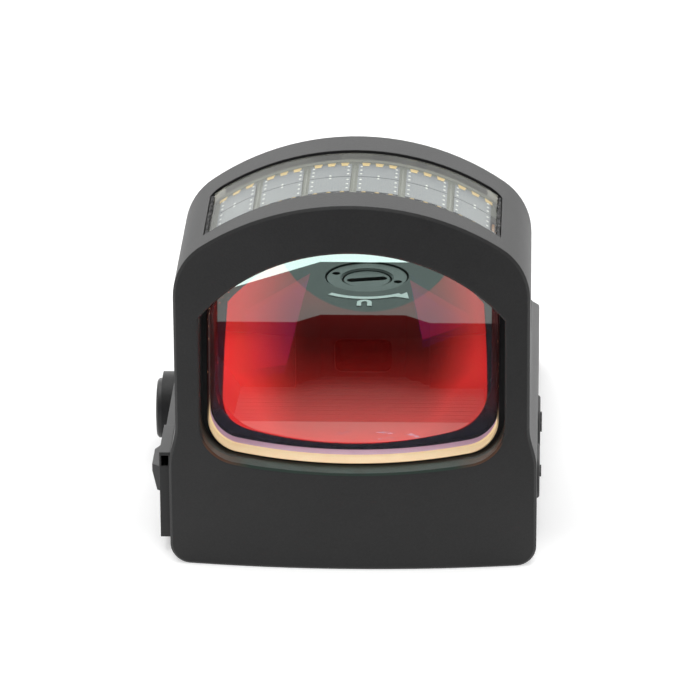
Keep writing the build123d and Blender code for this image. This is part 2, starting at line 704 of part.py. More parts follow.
    # Broken edges of the front face, the window and the hood's rear face.
    curved = housing.faces().filter_by(GeomType.CYLINDER)
    bowed = curved.filter_by(lambda face: abs(face.radius - BOW_R) < SAME)
    chamfer(bowed[0].outer_wire().edges(), FACE_CHAMFER)
    curved = housing.faces().filter_by(GeomType.CYLINDER)
    bowed = curved.filter_by(lambda face: abs(face.radius - BOW_R) < SAME)
    chamfer(bowed[0].inner_wires()[0].edges(), WINDOW_CHAMFER)
    upright = housing.faces().filter_by(Axis.Y)
    rear_face = upright.filter_by(lambda face: abs(face.center().Y - back(HOOD_DEPTH)) < SAME)
    above = rear_face.edges().filter_by(lambda edge: edge.center().Z > DECK_Z + SADDLE_R + SAME)
    chamfer(above, HOOD_REAR_CHAMFER)
finish(housing, "housing")


# === Lens group ==================================================================================
LENS_STACK = {
    "lens_front_element": (0.0, CROWN_GLASS),
    "lens_rear_element": (CROWN_GLASS, CROWN_GLASS + FLINT_GLASS),
}
for name, (front, rear) in LENS_STACK.items():
    with BuildPart() as element:
        window_bar(SEAL_GAP, -FRONT_BOW, HOOD_DEPTH, drop=LENS_DROP)
        lens_sphere(front, Mode.INTERSECT)
        lens_sphere(rear, Mode.SUBTRACT)
    finish(element, name)

with BuildPart() as lens_sealant:
    window_bar(0, -FRONT_BOW, HOOD_DEPTH)
    window_bar(SEAL_GAP, -FRONT_BOW, HOOD_DEPTH, Mode.SUBTRACT, LENS_DROP)
    lens_sphere(SEAL_BEHIND[0], Mode.INTERSECT)
    lens_sphere(SEAL_BEHIND[1], Mode.SUBTRACT)
finish(lens_sealant, "lens_sealant")


# === Solar panel =================================================================================
cell_starts = [CELL_PITCH * (index - CELL_COLUMNS / 2) for index in range(CELL_COLUMNS)]
cell_depths = (CELL_ROWS[0][0], CELL_ROWS[1][1])

with BuildPart() as solar_substrate:
    crown_layer(PANEL_HALF, PANEL_DEPTHS, (POCKET_FLOOR_R, SUBSTRATE_R), PANEL_CORNER)
    block(*FLEX_NOTCH, Mode.SUBTRACT)
finish(solar_substrate, "solar_substrate")

with BuildPart() as solar_cells:
    crown_layer(CELLS_HALF, cell_depths, (SUBSTRATE_R, CELL_R), 0)
    for start in cell_starts[1:]:
        block(
            (start - CELL_GAP / 2, start + CELL_GAP / 2), PANEL_DEPTHS, CROWN_ZONE, Mode.SUBTRACT
        )
    block(
        (-POCKET_HALF, POCKET_HALF),
        (CELL_ROWS[0][1], CELL_ROWS[1][0]),
        CROWN_ZONE,
        Mode.SUBTRACT,
    )
finish(solar_cells, "solar_cells")

pad_gap = PAD_PITCH - PAD_WIDTH
pad_margin = (CELL_PITCH - PAD_PITCH * PAD_COUNT + pad_gap) / 2
with BuildPart() as solar_pads:
    crown_layer(PADS_HALF, PAD_DEPTHS, (SUBSTRATE_R, PAD_TOP_R), 0)
    for start in cell_starts:
        block((start - pad_margin, start + pad_margin), PANEL_DEPTHS, CROWN_ZONE, Mode.SUBTRACT)
        for index in range(1, PAD_COUNT):
            low = start + pad_margin - pad_gap + PAD_PITCH * index
            block((low, low + pad_gap), PANEL_DEPTHS, CROWN_ZONE, Mode.SUBTRACT)
finish(solar_pads, "solar_pads")

with BuildPart() as solar_cover:
    crown_layer(PANEL_HALF, PANEL_DEPTHS, (COVER_LOW_R, COVER_R), PANEL_CORNER)
finish(solar_cover, "solar_cover")

with BuildPart() as solar_sealant:
    crown_layer(POCKET_HALF, POCKET_DEPTHS, (POCKET_FLOOR_R, SEAL_TOP_R), POCKET_CORNER)
    block((-PANEL_HALF, PANEL_HALF), PANEL_DEPTHS, CROWN_ZONE, Mode.SUBTRACT)
finish(solar_sealant, "solar_sealant")


# === Elevation adjuster ==========================================================================
with BuildPart() as elevation_screw:
    rod_z(SCREW_SHAFT_R, ELEV_CENTRE, (ELEV_SHAFT_LOW, ELEV_FLANGE_Z[0]))
    rod_z(ELEV_FLANGE_R, ELEV_CENTRE, ELEV_FLANGE_Z)
    rod_z(ELEV_HEAD_R, ELEV_CENTRE, (ELEV_FLANGE_Z[1], ELEV_HEAD_TOP))
    turn = math.radians(ELEV_SLOT_TURN)
    slot_plane = Plane(
        origin=(0, back(ELEV_DEPTH), ELEV_HEAD_TOP),
        x_dir=(math.cos(turn), math.sin(turn), 0),
        z_dir=(0, 0, 1),
    )
    with BuildSketch(slot_plane):
        SlotOverall(SLOT_LENGTH, SLOT_WIDTH)
    extrude(amount=-SLOT_DEEP, mode=Mode.SUBTRACT)
    rim = elevation_screw.edges().filter_by(GeomType.CIRCLE).group_by(Axis.Z)[-1]
    chamfer(rim.sort_by(SortBy.RADIUS)[-1:], HEAD_CHAMFER)
finish(elevation_screw, "elevation_screw")

with BuildPart() as elevation_retaining_ring:
    rod_z(ELEV_BORE_R - RING_FIT, ELEV_CENTRE, RING_Z)
    rod_z(ELEV_HEAD_R + RING_CLEARANCE, ELEV_CENTRE, (0, HEIGHT), Mode.SUBTRACT)
    for turn in (SPANNER_TURN, SPANNER_TURN + 180):
        angle = math.radians(turn)
        hole = (SPANNER_R * math.cos(angle), ELEV_DEPTH + SPANNER_R * math.sin(angle))
        rod_z(SPANNER_HOLE_R, hole, (SPANNER_HOLE_LOW, HEIGHT), Mode.SUBTRACT)
    inner = elevation_retaining_ring.edges().filter_by(GeomType.CIRCLE).group_by(Axis.Z)[-1]
    chamfer(inner.sort_by(SortBy.RADIUS)[-2:], RING_CHAMFER)
finish(elevation_retaining_ring, "elevation_retaining_ring")

with BuildPart() as elevation_o_ring:
    ring_centre = (0, back(ELEV_DEPTH), ELEV_O_RING_Z)
    o_ring(ELEV_BORE_R, ELEV_FLANGE_R, RING_FIT, ring_centre, (0, 0, 1), (1, 0, 0))
finish(elevation_o_ring, "elevation_o_ring")

with BuildPart() as elevation_click_spring:
    rod_z(ELEV_FLANGE_R - CLICK_OUTER, ELEV_CENTRE, CLICK_Z)
    rod_z(SCREW_SHAFT_R + CLICK_INNER, ELEV_CENTRE, (0, HEIGHT), Mode.SUBTRACT)
    for turn in CLICK_TURNS:
        angle = math.radians(turn)
        opening = (
            CLICK_WINDOW_AT * math.cos(angle),
            ELEV_DEPTH + CLICK_WINDOW_AT * math.sin(angle),
        )
        rod_z(CLICK_WINDOW_R, opening, (0, HEIGHT), Mode.SUBTRACT)
finish(elevation_click_spring, "elevation_click_spring")

with BuildPart() as elevation_carriage:
    for box in CARRIAGE_BOXES:
        block(*box)
    rod_z(SCREW_SHAFT_R + RUNNING_GAP, ELEV_CENTRE, (0, HEIGHT), Mode.SUBTRACT)
    rod_z(SPRING_CUP_R, ELEV_CENTRE, (0, CARRIAGE_BASE + SPRING_CUP_DEEP), Mode.SUBTRACT)
finish(elevation_carriage, "elevation_carriage")

spring_room = CARRIAGE_BASE + SPRING_CUP_DEEP - SPRING_BASE
spring_length = spring_room - 2 * SPRING_WIRE_R - RUNNING_GAP
with BuildPart() as elevation_spring:
    with BuildLine() as coil:
        Helix(
            pitch=spring_length / SPRING_TURNS,
            height=spring_length,
            radius=SPRING_R,
            center=(0, back(ELEV_DEPTH), SPRING_BASE + SPRING_WIRE_R),
        )
    with BuildSketch(Plane(origin=coil.line @ 0, z_dir=coil.line % 0)) as wire:
        Circle(SPRING_WIRE_R)
    sweep(wire.sketch, path=coil.line, is_frenet=True)
finish(elevation_spring, "elevation_spring")

with BuildPart() as elevation_mark:
    bend_in, bend_out = MARK_BEND_RADII
    bend_y = back(MARK_BEND_DEPTH)
    with BuildSketch(Plane.XY.offset(DECK_Z)):
        with BuildLine():
            low_arc = CenterArc((0, back(ELEV_DEPTH)), MARK_RADII[1], MARK_START, MARK_SWEEP)
            high_arc = CenterArc((0, back(ELEV_DEPTH)), MARK_RADII[0], MARK_START, MARK_SWEEP)
            Line(low_arc @ 0, high_arc @ 0)
            Line(low_arc @ 1, high_arc @ 1)
        make_face()
        with BuildLine():
            Polyline(*plan_points(MARK_ARROW), close=True)
        make_face()
        with Locations(*plan_points([(x, MARK_LEG_DEPTH) for x in (-MARK_LEG_X, MARK_LEG_X)])):
            Rectangle(*MARK_LEG_SIZE)
        with BuildLine():
            CenterArc((0, bend_y), bend_out, 0, 180)
            CenterArc((0, bend_y), bend_in, 0, 180)
            Line((bend_in, bend_y), (bend_out, bend_y))
            Line((-bend_in, bend_y), (-bend_out, bend_y))
        make_face()
    extrude(amount=MARK_HIGH)
finish(elevation_mark, "elevation_mark")


# === Windage adjuster ============================================================================
with BuildPart() as windage_screw:
    rod_x(WIND_HEAD_R, (WIND_HEAD_X, WIND_FLANGE_X[0]), WIND_DEPTH, WIND_Z)
    rod_x(WIND_FLANGE_R, WIND_FLANGE_X, WIND_DEPTH, WIND_Z)
    rod_x(WIND_SHAFT_R, (WIND_FLANGE_X[1], WIND_SHAFT_END), WIND_DEPTH, WIND_Z)
    slot_long, slot_wide, slot_deep = WIND_SLOT
    slot_x = (WIND_CAP_X, WIND_CAP_X + slot_deep)
    oval_x(slot_long, slot_wide, slot_x, WIND_DEPTH, WIND_Z, Mode.SUBTRACT)
finish(windage_screw, "windage_screw")

with BuildPart() as windage_retaining_ring:
    past_cap = WIND_CAP_X - BEYOND
    rod_x(WIND_BORE_R - RING_FIT, (WIND_CAP_X, WIND_RING_X), WIND_DEPTH, WIND_Z)
    rod_x(WIND_HEAD_R + RING_CLEARANCE, (past_cap, -BASE_HALF), WIND_DEPTH, WIND_Z, Mode.SUBTRACT)
    for depth in (WIND_DEPTH - WIND_HOLE_AT, WIND_DEPTH + WIND_HOLE_AT):
        rod_x(WIND_HOLE_R, (past_cap, WIND_HOLE_X), depth, WIND_Z, Mode.SUBTRACT)
    rim = windage_retaining_ring.edges().filter_by(GeomType.CIRCLE).group_by(Axis.X)[0]
    chamfer(rim.sort_by(SortBy.RADIUS)[-1:], RING_CHAMFER)
finish(windage_retaining_ring, "windage_retaining_ring")

with BuildPart() as windage_o_ring:
    ring_centre = (WIND_O_RING_X, back(WIND_DEPTH), WIND_Z)
    o_ring(WIND_BORE_R, WIND_FLANGE_R, WIND_O_RING_FIT, ring_centre, (1, 0, 0), (0, 0, 1))
finish(windage_o_ring, "windage_o_ring")

with BuildPart() as windage_click_spring:
    rod_x(WIND_FLANGE_R - CLICK_OUTER, WIND_CLICK_X, WIND_DEPTH, WIND_Z)
    rod_x(WIND_SHAFT_R + WIND_CLICK_INNER, (WIND_CAP_X, 0), WIND_DEPTH, WIND_Z, Mode.SUBTRACT)
finish(windage_click_spring, "windage_click_spring")

with BuildPart() as windage_nut:
    nut_depths = (WIND_DEPTH - NUT_HALF, WIND_DEPTH + NUT_HALF)
    block(NUT_X, nut_depths, (WIND_Z - NUT_HALF, WIND_Z + NUT_HALF))
    rod_x(WIND_SHAFT_R + RUNNING_GAP, (-BASE_HALF, 0), WIND_DEPTH, WIND_Z, Mode.SUBTRACT)
finish(windage_nut, "windage_nut")


# === Emitter =====================================================================================
with BuildPart() as emitter_holder:
    for box in HOLDER_BOXES:
        block(*box)
    for box in HOLDER_GROOVES:
        block(*box, Mode.SUBTRACT)
    block(*HOLDER_ARM)
    slot_depths = (WIND_DEPTH - FORK_SLOT_HALF, WIND_DEPTH + FORK_SLOT_HALF)
    for cheek in FORK_CHEEKS:
        block(cheek, FORK_DEPTHS, FORK_Z)
        block(cheek, slot_depths, FORK_SLOT_Z, Mode.SUBTRACT)
finish(emitter_holder, "emitter_holder")

with BuildPart() as led_emitter:
    block(*LED_BODY)
    dome_r, dome_high, dome_taper = LED_DOME
    with BuildSketch(front_plane(LED_BODY[1][0])):
        with Locations((0, EMITTER_Z)):
            Circle(dome_r)
    extrude(amount=dome_high, taper=dome_taper)
finish(led_emitter, "led_emitter")

with BuildPart() as emitter_window:
    pane(PANE_SIZE, PANE_DEPTHS)
finish(emitter_window, "emitter_window")


# === Electronics =================================================================================
with BuildPart() as main_board:
    block(*MAIN_BOARD)
    rod_z(BOARD_HOLE_R, ELEV_CENTRE, (0, HEIGHT), Mode.SUBTRACT)
finish(main_board, "main_board")

for name, boxes in SMALL_PARTS.items():
    with BuildPart() as small_part:
        for box in boxes:
            block(*box)
    finish(small_part, name)


# === Buttons =====================================================================================
for name, depth in BUTTON_DEPTHS.items():
    long_sign = (depth - SIGN_LONG, depth + SIGN_LONG)
    thin_sign = (depth - SIGN_THIN, depth + SIGN_THIN)
    with BuildPart() as button:
        oval_x(BUTTON_LONG, BUTTON_HIGH, BUTTON_X, depth, BUTTON_Z)
        fillet(button.faces().sort_by(Axis.X)[-1].edges(), BUTTON_FILLET)
        oval_x(*COLLAR_SIZE, COLLAR_X, depth, BUTTON_Z)
        rod_x(STEM_R, STEM_X, depth, BUTTON_Z)
        block(SIGN_X, long_sign, (BUTTON_Z - SIGN_THIN, BUTTON_Z + SIGN_THIN))
        if name == "brighter":
            block(SIGN_X, thin_sign, (BUTTON_Z - SIGN_LONG, BUTTON_Z + SIGN_LONG))
    finish(button, f"{name}_button")

    with BuildPart() as switch:
        block(SWITCH_X, (depth - SWITCH_HALF, depth + SWITCH_HALF), SWITCH_Z)
        rod_x(PLUNGER_R, PLUNGER_X, depth, PLUNGER_Z)
    finish(switch, f"{name}_switch")


# === Battery tray ================================================================================
with BuildPart() as battery_tray:
    # Outer plate with a fingernail lip and a scoop above it.
    with BuildSketch(Plane.YZ.offset(-BASE_HALF - PLATE_FIT)):
        with BuildLine():
            Polyline(*side_points(PLATE_OUTLINE), close=True)
        make_face()
    extrude(amount=PLATE_X + BASE_HALF + PLATE_FIT)
    with BuildSketch(Plane.XY.offset(LIP_Z[0])):
        with BuildLine():
            Polyline(*plan_points(LIP_OUTLINE), close=True)
        make_face()
    extrude(amount=LIP_Z[1] - LIP_Z[0])
    with BuildSketch(front_plane(0)):
        with BuildLine():
            Polyline(*LIP_BEVEL, close=True)
        make_face()
    extrude(amount=-LIP_BEVEL_DEPTH, mode=Mode.SUBTRACT)
    block(*SCOOP, Mode.SUBTRACT)
    # Neck that fills the mouth of the bay, with a groove for the seal.
    block(NECK_X, TRAY_DEPTHS, NECK_Z)
    for box in SEAL_GROOVES:
        block(*box, Mode.SUBTRACT)
    # Floor and rim that carry the coin cell.
    tray_floor_top = TRAY_FLOOR_Z + TRAY_THICK
    block(TRAY_X, TRAY_DEPTHS, (TRAY_FLOOR_Z, TRAY_RIM_Z))
    cell_room = (tray_floor_top, TRAY_OPEN_TOP)
    rod_z(CELL_RADIUS + CELL_ROOM, CELL_CENTRE, cell_room, Mode.SUBTRACT)
    block(*TRAY_MOUTH, cell_room, Mode.SUBTRACT)
    # Hole and counterbore of the captive screw.
    for radius, end_x in ((TRAY_TAP_R, NECK_X[1]), (TRAY_SINK_R, TRAY_SINK_X)):
        rod_x(radius, (WIND_CAP_X, end_x), TRAY_SCREW_DEPTH, TRAY_SCREW_Z, Mode.SUBTRACT)
finish(battery_tray, "battery_tray")

with BuildPart() as tray_seal:
    block(*SEAL_OUTER)
    block(*SEAL_INNER, Mode.SUBTRACT)
finish(tray_seal, "tray_seal")

with BuildPart() as tray_screw:
    for radius, x_range in (TRAY_HEAD, TRAY_SHANK):
        rod_x(radius, x_range, TRAY_SCREW_DEPTH, TRAY_SCREW_Z)
    drive_r, drive_deep = TRAY_DRIVE
    drive_plane = Plane.YZ.offset(TRAY_HEAD[1][0] - RUNNING_GAP)
    hexagon(drive_plane, (back(TRAY_SCREW_DEPTH), TRAY_SCREW_Z), drive_r, drive_deep)
finish(tray_screw, "tray_screw")

with BuildPart() as coin_cell:
    rim_in, rim_low = CELL_RIM
    cell_top = CELL_LOW + CELL_THICK
    rod_z(CELL_RADIUS - rim_in, CELL_CENTRE, (CELL_LOW, cell_top))
    rod_z(CELL_RADIUS, CELL_CENTRE, (CELL_LOW + rim_low, cell_top))
    top_edge = coin_cell.edges().filter_by(GeomType.CIRCLE).group_by(Axis.Z)[-1]
    fillet(top_edge, CELL_FILLET)
finish(coin_cell, "coin_cell")


# === Bottom cover ================================================================================
cover_sheet = (
    (COVER_FIT / 2 - COVER_HALF, COVER_HALF - COVER_FIT / 2),
    (COVER_DEPTHS[0] + COVER_FIT / 2, COVER_DEPTHS[1] - COVER_FIT / 2),
)
with BuildPart() as bottom_cover:
    block(*cover_sheet, (0, COVER_THICK))
    for screw in COVER_SCREWS:
        rod_z(COVER_HOLE_R, screw, (-BEYOND, BEYOND), Mode.SUBTRACT)
        rod_z(COVER_SINK_R, screw, (-BEYOND, COVER_SINK_Z), Mode.SUBTRACT)
finish(bottom_cover, "bottom_cover")

with BuildPart() as cover_gasket:
    block(*cover_sheet, (COVER_THICK, COVER_SEAT))
    block((-CAVITY_HALF, CAVITY_HALF), CAVITY_DEPTHS, (0, HEIGHT), Mode.SUBTRACT)
    for screw in COVER_SCREWS:
        rod_z(GASKET_HOLE_R, screw, (0, HEIGHT), Mode.SUBTRACT)
finish(cover_gasket, "cover_gasket")

with BuildPart() as cover_screws:
    for screw in COVER_SCREWS:
        for radius, z_range in (COVER_HEAD, COVER_SHANK):
            rod_z(radius, screw, z_range)
        drive_plane = Plane.XY.offset(COVER_HEAD[1][0])
        hexagon(drive_plane, (screw[0], back(screw[1])), *COVER_DRIVE)
finish(cover_screws, "cover_screws")
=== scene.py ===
"""Looks of the compact reflex sight: finishes, small surface details, studio and camera.

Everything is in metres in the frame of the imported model: +Z up, the objective faces -Y.
"""
import json
import math
import random

import bmesh
import bpy
from mathutils import Matrix, Vector


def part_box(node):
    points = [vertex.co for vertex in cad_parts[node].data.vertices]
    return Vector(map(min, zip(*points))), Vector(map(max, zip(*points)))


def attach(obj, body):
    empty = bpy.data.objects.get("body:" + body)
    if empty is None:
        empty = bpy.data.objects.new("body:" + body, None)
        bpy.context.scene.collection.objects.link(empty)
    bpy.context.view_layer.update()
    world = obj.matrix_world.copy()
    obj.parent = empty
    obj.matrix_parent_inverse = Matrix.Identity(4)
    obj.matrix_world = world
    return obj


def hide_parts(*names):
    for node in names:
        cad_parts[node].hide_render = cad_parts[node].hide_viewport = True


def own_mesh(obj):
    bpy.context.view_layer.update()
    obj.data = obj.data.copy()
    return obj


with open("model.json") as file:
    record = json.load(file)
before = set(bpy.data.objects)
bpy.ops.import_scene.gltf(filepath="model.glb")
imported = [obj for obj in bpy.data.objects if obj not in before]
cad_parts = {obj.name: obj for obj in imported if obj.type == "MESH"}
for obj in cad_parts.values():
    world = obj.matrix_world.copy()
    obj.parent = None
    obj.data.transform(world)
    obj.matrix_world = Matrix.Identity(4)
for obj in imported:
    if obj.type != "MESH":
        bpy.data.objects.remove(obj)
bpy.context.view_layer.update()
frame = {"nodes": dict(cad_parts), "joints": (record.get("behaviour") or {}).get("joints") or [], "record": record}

MM = 0.001
NODES = frame["nodes"]
random.seed(7)


# === Node tree helpers ===========================================================================
def plug(tree, value, socket):
    """Links an output to a socket, or sets the socket to a plain value."""
    if isinstance(value, bpy.types.NodeSocket):
        tree.links.new(value, socket)
    else:
        socket.default_value = value


def node(tree, kind, options=None, **inputs):
    """Adds a shader node, with its options and its named inputs set or linked."""
    made = tree.nodes.new("ShaderNode" + kind)
    for key, value in (options or {}).items():
        setattr(made, key, value)
    for key, value in inputs.items():
        plug(tree, value, made.inputs[key.replace("_", " ")])
    return made


def calc(tree, operation, *values):
    """Output of a math node."""
    made = tree.nodes.new("ShaderNodeMath")
    made.operation = operation
    for index, value in enumerate(values):
        plug(tree, value, made.inputs[index])
    return made.outputs[0]


def ramp(tree, value, low, high, out_low=0.0, out_high=1.0):
    """Smooth step of a value from out_low at low to out_high at high."""
    made = node(
        tree,
        "MapRange",
        {"interpolation_type": "SMOOTHSTEP"},
        Value=value,
        From_Min=low,
        From_Max=high,
        To_Min=out_low,
        To_Max=out_high,
    )
    return made.outputs["Result"]


def spot(tree):
    """Place on the surface, in the row frame: (vector, x, y, z)."""
    place = node(tree, "TexCoord").outputs["Object"]
    parts = node(tree, "SeparateXYZ", Vector=place)
    return (place, *parts.outputs)


def noise(tree, place, size, detail=2.0, roughness=0.5):
    """Noise from 0 to 1 whose lumps are about size metres across."""
    made = node(
        tree, "TexNoise", Vector=place, Scale=1.0 / size, Detail=detail, Roughness=roughness
    )
    return made.outputs["Fac"]


def waves(tree, value, pitch):
    """Sine of a distance, one wave to every pitch."""
    return calc(tree, "SINE", calc(tree, "MULTIPLY", value, 2 * math.pi / pitch))


def mixed(tree, first, share, second):
    """First value times its share, plus the second value times the rest."""
    return calc(tree, "MULTIPLY_ADD", first, share, calc(tree, "MULTIPLY", second, 1 - share))


def blend_colour(tree, factor, first, second):
    """Colour between two colours."""
    made = tree.nodes.new("ShaderNodeMix")
    made.data_type = "RGBA"
    plug(tree, factor, made.inputs[0])
    plug(tree, first, made.inputs[6])
    plug(tree, second, made.inputs[7])
    return made.outputs[2]


def facing_up(tree):
    """Upward part of the surface's normal, from -1 to 1."""
    normal = node(tree, "TexCoord").outputs["Normal"]
    return node(tree, "SeparateXYZ", Vector=normal).outputs["Z"]


def bump(tree, height, depth, normal=None):
    """Normal of a surface whose height map spans depth metres."""
    made = node(tree, "Bump", Height=height, Distance=depth, Strength=1.0)
    if normal is not None:
        plug(tree, normal, made.inputs["Normal"])
    return made.outputs["Normal"]


def grey(level):
    """Opaque grey."""
    return (level, level, level, 1.0)


def rgb(red, green, blue):
    """Opaque colour."""
    return (red, green, blue, 1.0)


def material(name, build):
    """New material whose surface is the shader that build(tree) returns."""
    made = bpy.data.materials.new(name)
    made.use_nodes = True
    tree = made.node_tree
    tree.nodes.clear()
    output = node(tree, "OutputMaterial")
    tree.links.new(build(tree), output.inputs["Surface"])
    return made


def principled(tree, **inputs):
    """Principled shader with the given inputs."""
    return node(tree, "BsdfPrincipled", **inputs).outputs["BSDF"]


# === Finishes ====================================================================================
SILL_FLAT_Z = 6.5 * MM
SILL_FLAT_START = -29.4 * MM
SILL_FLAT_END = -21.8 * MM
LIP_END = -34.0 * MM


def anodised(name, level, rough, specular=0.5, grain=0.10 * MM, relief=0.006 * MM, areas=()):
    """Bead-blasted black anodising: fine even grain, faint mottling and softly broken edges, with a painted
    highlight: the colour is painted lighter along the edges.

    Each area is a function that gives, from the tree, where it lies and its colour there.
    """

    def build(tree):
        place = spot(tree)[0]
        fine = noise(tree, place, grain, 2.0, 0.6)
        broad = noise(tree, place, 4.0 * MM, 3.0, 0.55)
        edge = node(tree, "Bevel", {"samples": 4}, Radius=0.12 * MM).outputs["Normal"]
        flat = node(tree, "NewGeometry").outputs["Normal"]
        turned = node(tree, "VectorMath", {"operation": "DOT_PRODUCT"})
        plug(tree, edge, turned.inputs[0])
        plug(tree, flat, turned.inputs[1])
        # painted highlight: the colour is painted lighter along the edges that the bevel finds
        edge_highlight = ramp(tree, turned.outputs["Value"], 0.995, 0.90)
        shade = mixed(tree, broad, 0.4, fine)
        body = blend_colour(tree, shade, grey(level * 0.5), grey(level * 1.5))
        colour = blend_colour(tree, calc(tree, "MULTIPLY", edge_highlight, 0.35), body, grey(level * 2.5))
        for area in areas:
            where, tint = area(tree)
            colour = blend_colour(tree, where, colour, tint)
        roughness = calc(tree, "MULTIPLY_ADD", shade, 0.10, rough - 0.05)
        return principled(
            tree,
            Base_Color=colour,
            Roughness=roughness,
            Specular_IOR_Level=specular,
            Normal=bump(tree, fine, relief, edge),
        )

    return material(name, build)


def lit_sill_flat(tree):
    """The milled flat behind the lens, between the lens seat and the serrations, painted pale grey as painted
    light where light falls on it.
    """
    _, _, y, z = spot(tree)
    off_level = calc(tree, "ABSOLUTE", calc(tree, "SUBTRACT", z, SILL_FLAT_Z))
    level = ramp(tree, off_level, 0.15 * MM, 0.08 * MM)
    ahead = ramp(tree, y, SILL_FLAT_START - 0.05 * MM, SILL_FLAT_START + 0.05 * MM)
    behind = ramp(tree, y, SILL_FLAT_END + 0.05 * MM, SILL_FLAT_END - 0.05 * MM)
    # painted light: the pale grey stands in for the light that falls on the flat
    return calc(tree, "MULTIPLY", level, calc(tree, "MULTIPLY", ahead, behind)), grey(0.19)


def window_lip_reflection(tree):
    """The window's lower lip ahead of the lens, with a painted reflection of the lens's coloured edges: grey-green
    in the middle, brown in the corners.
    """
    _, x, y, z = spot(tree)
    upward = ramp(tree, facing_up(tree), 0.25, 0.45)
    ahead = ramp(tree, y, LIP_END, LIP_END - 0.2 * MM)
    low = ramp(tree, z, 11.5 * MM, 10.5 * MM)
    corner = ramp(tree, calc(tree, "ABSOLUTE", x), 7.5 * MM, 10.0 * MM)
    # painted reflection: the lens's coloured edges, grey-green in the middle and brown in the corners, painted
    # onto the lip's upward faces
    tint = blend_colour(tree, corner, rgb(0.012, 0.028, 0.020), rgb(0.075, 0.032, 0.016))
    return calc(tree, "MULTIPLY", upward, calc(tree, "MULTIPLY", ahead, low)), tint


def turned_metal(name, level, axis_point, axis, rough=0.35):
    """Black turned part: concentric tool marks round its axis."""

    def build(tree):
        place = spot(tree)[0]
        moved = node(tree, "VectorMath", {"operation": "SUBTRACT"})
        plug(tree, place, moved.inputs[0])
        moved.inputs[1].default_value = axis_point
        across = node(tree, "VectorMath", {"operation": "MULTIPLY"})
        plug(tree, moved.outputs[0], across.inputs[0])
        across.inputs[1].default_value = [0.0 if a else 1.0 for a in axis]
        radius = node(tree, "VectorMath", {"operation": "LENGTH"})
        plug(tree, across.outputs[0], radius.inputs[0])
        rings = waves(tree, radius.outputs["Value"], 0.09 * MM)
        fine = noise(tree, place, 0.08 * MM)
        height = calc(tree, "MULTIPLY_ADD", rings, 0.5, fine)
        colour = blend_colour(tree, fine, grey(level * 0.75), grey(level * 1.25))
        return principled(
            tree,
            Base_Color=colour,
            Roughness=calc(tree, "MULTIPLY_ADD", fine, 0.15, rough),
            Normal=bump(tree, height, 0.004 * MM),
        )

    return material(name, build)


def brushed(name, dark, light, rough, metal=1.0, stretch=(1, 12, 12), grain=0.3 * MM):
    """Metal with fine lengthwise brushing."""

    def build(tree):
        place = spot(tree)[0]
        scaled = node(tree, "VectorMath", {"operation": "MULTIPLY"})
        plug(tree, place, scaled.inputs[0])
        scaled.inputs[1].default_value = stretch
        lines = noise(tree, scaled.outputs[0], grain, 3.0)
        cloud = noise(tree, place, 2.0 * MM)
        return principled(
            tree,
            Base_Color=blend_colour(tree, mixed(tree, lines, 0.6, cloud), dark, light),
            Metallic=metal,
            Roughness=calc(tree, "MULTIPLY_ADD", lines, 0.2, rough - 0.1),
            Normal=bump(tree, lines, 0.004 * MM),
        )

    return material(name, build)


def moulded(name, dark, light, rough, grain=0.15 * MM, relief=0.004 * MM, specular=0.5):
    """Moulded rubber or plastic with a fine texture."""

    def build(tree):
        place = spot(tree)[0]
        fine = noise(tree, place, grain, 3.0)
        broad = noise(tree, place, 2.5 * MM)
        return principled(
            tree,
            Base_Color=blend_colour(tree, mixed(tree, fine, 0.5, broad), dark, light),
            Roughness=calc(tree, "MULTIPLY_ADD", fine, 0.12, rough - 0.06),
            Specular_IOR_Level=specular,
            Normal=bump(tree, fine, relief),
        )

    return material(name, build)


# === Lens ========================================================================================
LENS_LOW, LENS_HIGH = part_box("lens_front_element")
LENS_RADIUS = 57.0 * MM
LENS_CENTRE_Z = 6.9 * MM
FRONT_GLASS = 1.7 * MM
REAR_GLASS = 1.6 * MM
ARCH_RADIUS = 14.25 * MM
SILL_RADIUS = 63.0 * MM
OUTLINE_STEPS = 24
LENS_RINGS = 30
GLASS_LOW_CORNER = 2.55 * MM
GLASS_TOP_CORNER = 1.3 * MM
EDGE_FIT = 0.03 * MM
LENS_SHARP_ANGLE = 25
GROUND_BEVEL = 0.10 * MM
BLACKED_BEVEL = 0.42 * MM
CEMENT_GAP = 0.02 * MM
COAT_INSET = 0.72 * MM
COAT_SHIFT = -0.12 * MM
COAT_RISE = 1.0 * MM
COAT_LEAN = 0.018
COAT_SILL_RADIUS = 36.0 * MM
COAT_LOW_CORNER = 3.2 * MM
COAT_TOP_CORNER = 4.2 * MM
COAT_DROP = 0.1 * MM
RIM_INSET = 0.62 * MM
RIM_RISE = 0.42 * MM
RIM_LOW_CORNER = 4.0 * MM
RIM_TOP_CORNER = 1.8 * MM
RIM_DROP = 0.4 * MM
RIM_SIDE_Z = LENS_LOW.z + 1.6 * MM
EDGE_FADE_Z = LENS_LOW.z + 2.2 * MM
STREAK_TOP = LENS_LOW.z + 2.2 * MM


def clear(tree, colour):
    """Light that goes straight through, tinted."""
    return node(tree, "BsdfTransparent", Color=colour).outputs[0]


def mirror(tree, colour):
    """Sharp reflection, tinted."""
    return node(tree, "BsdfGlossy", Color=colour, Roughness=0.0).outputs[0]


def shade_sum(tree, first, second):
    """Two shaders added."""
    made = tree.nodes.new("ShaderNodeAddShader")
    plug(tree, first, made.inputs[0])
    plug(tree, second, made.inputs[1])
    return made.outputs[0]


def shade_mix(tree, factor, first, second):
    """Shader between two shaders."""
    made = tree.nodes.new("ShaderNodeMixShader")
    plug(tree, factor, made.inputs[0])
    plug(tree, first, made.inputs[1])
    plug(tree, second, made.inputs[2])
    return made.outputs[0]


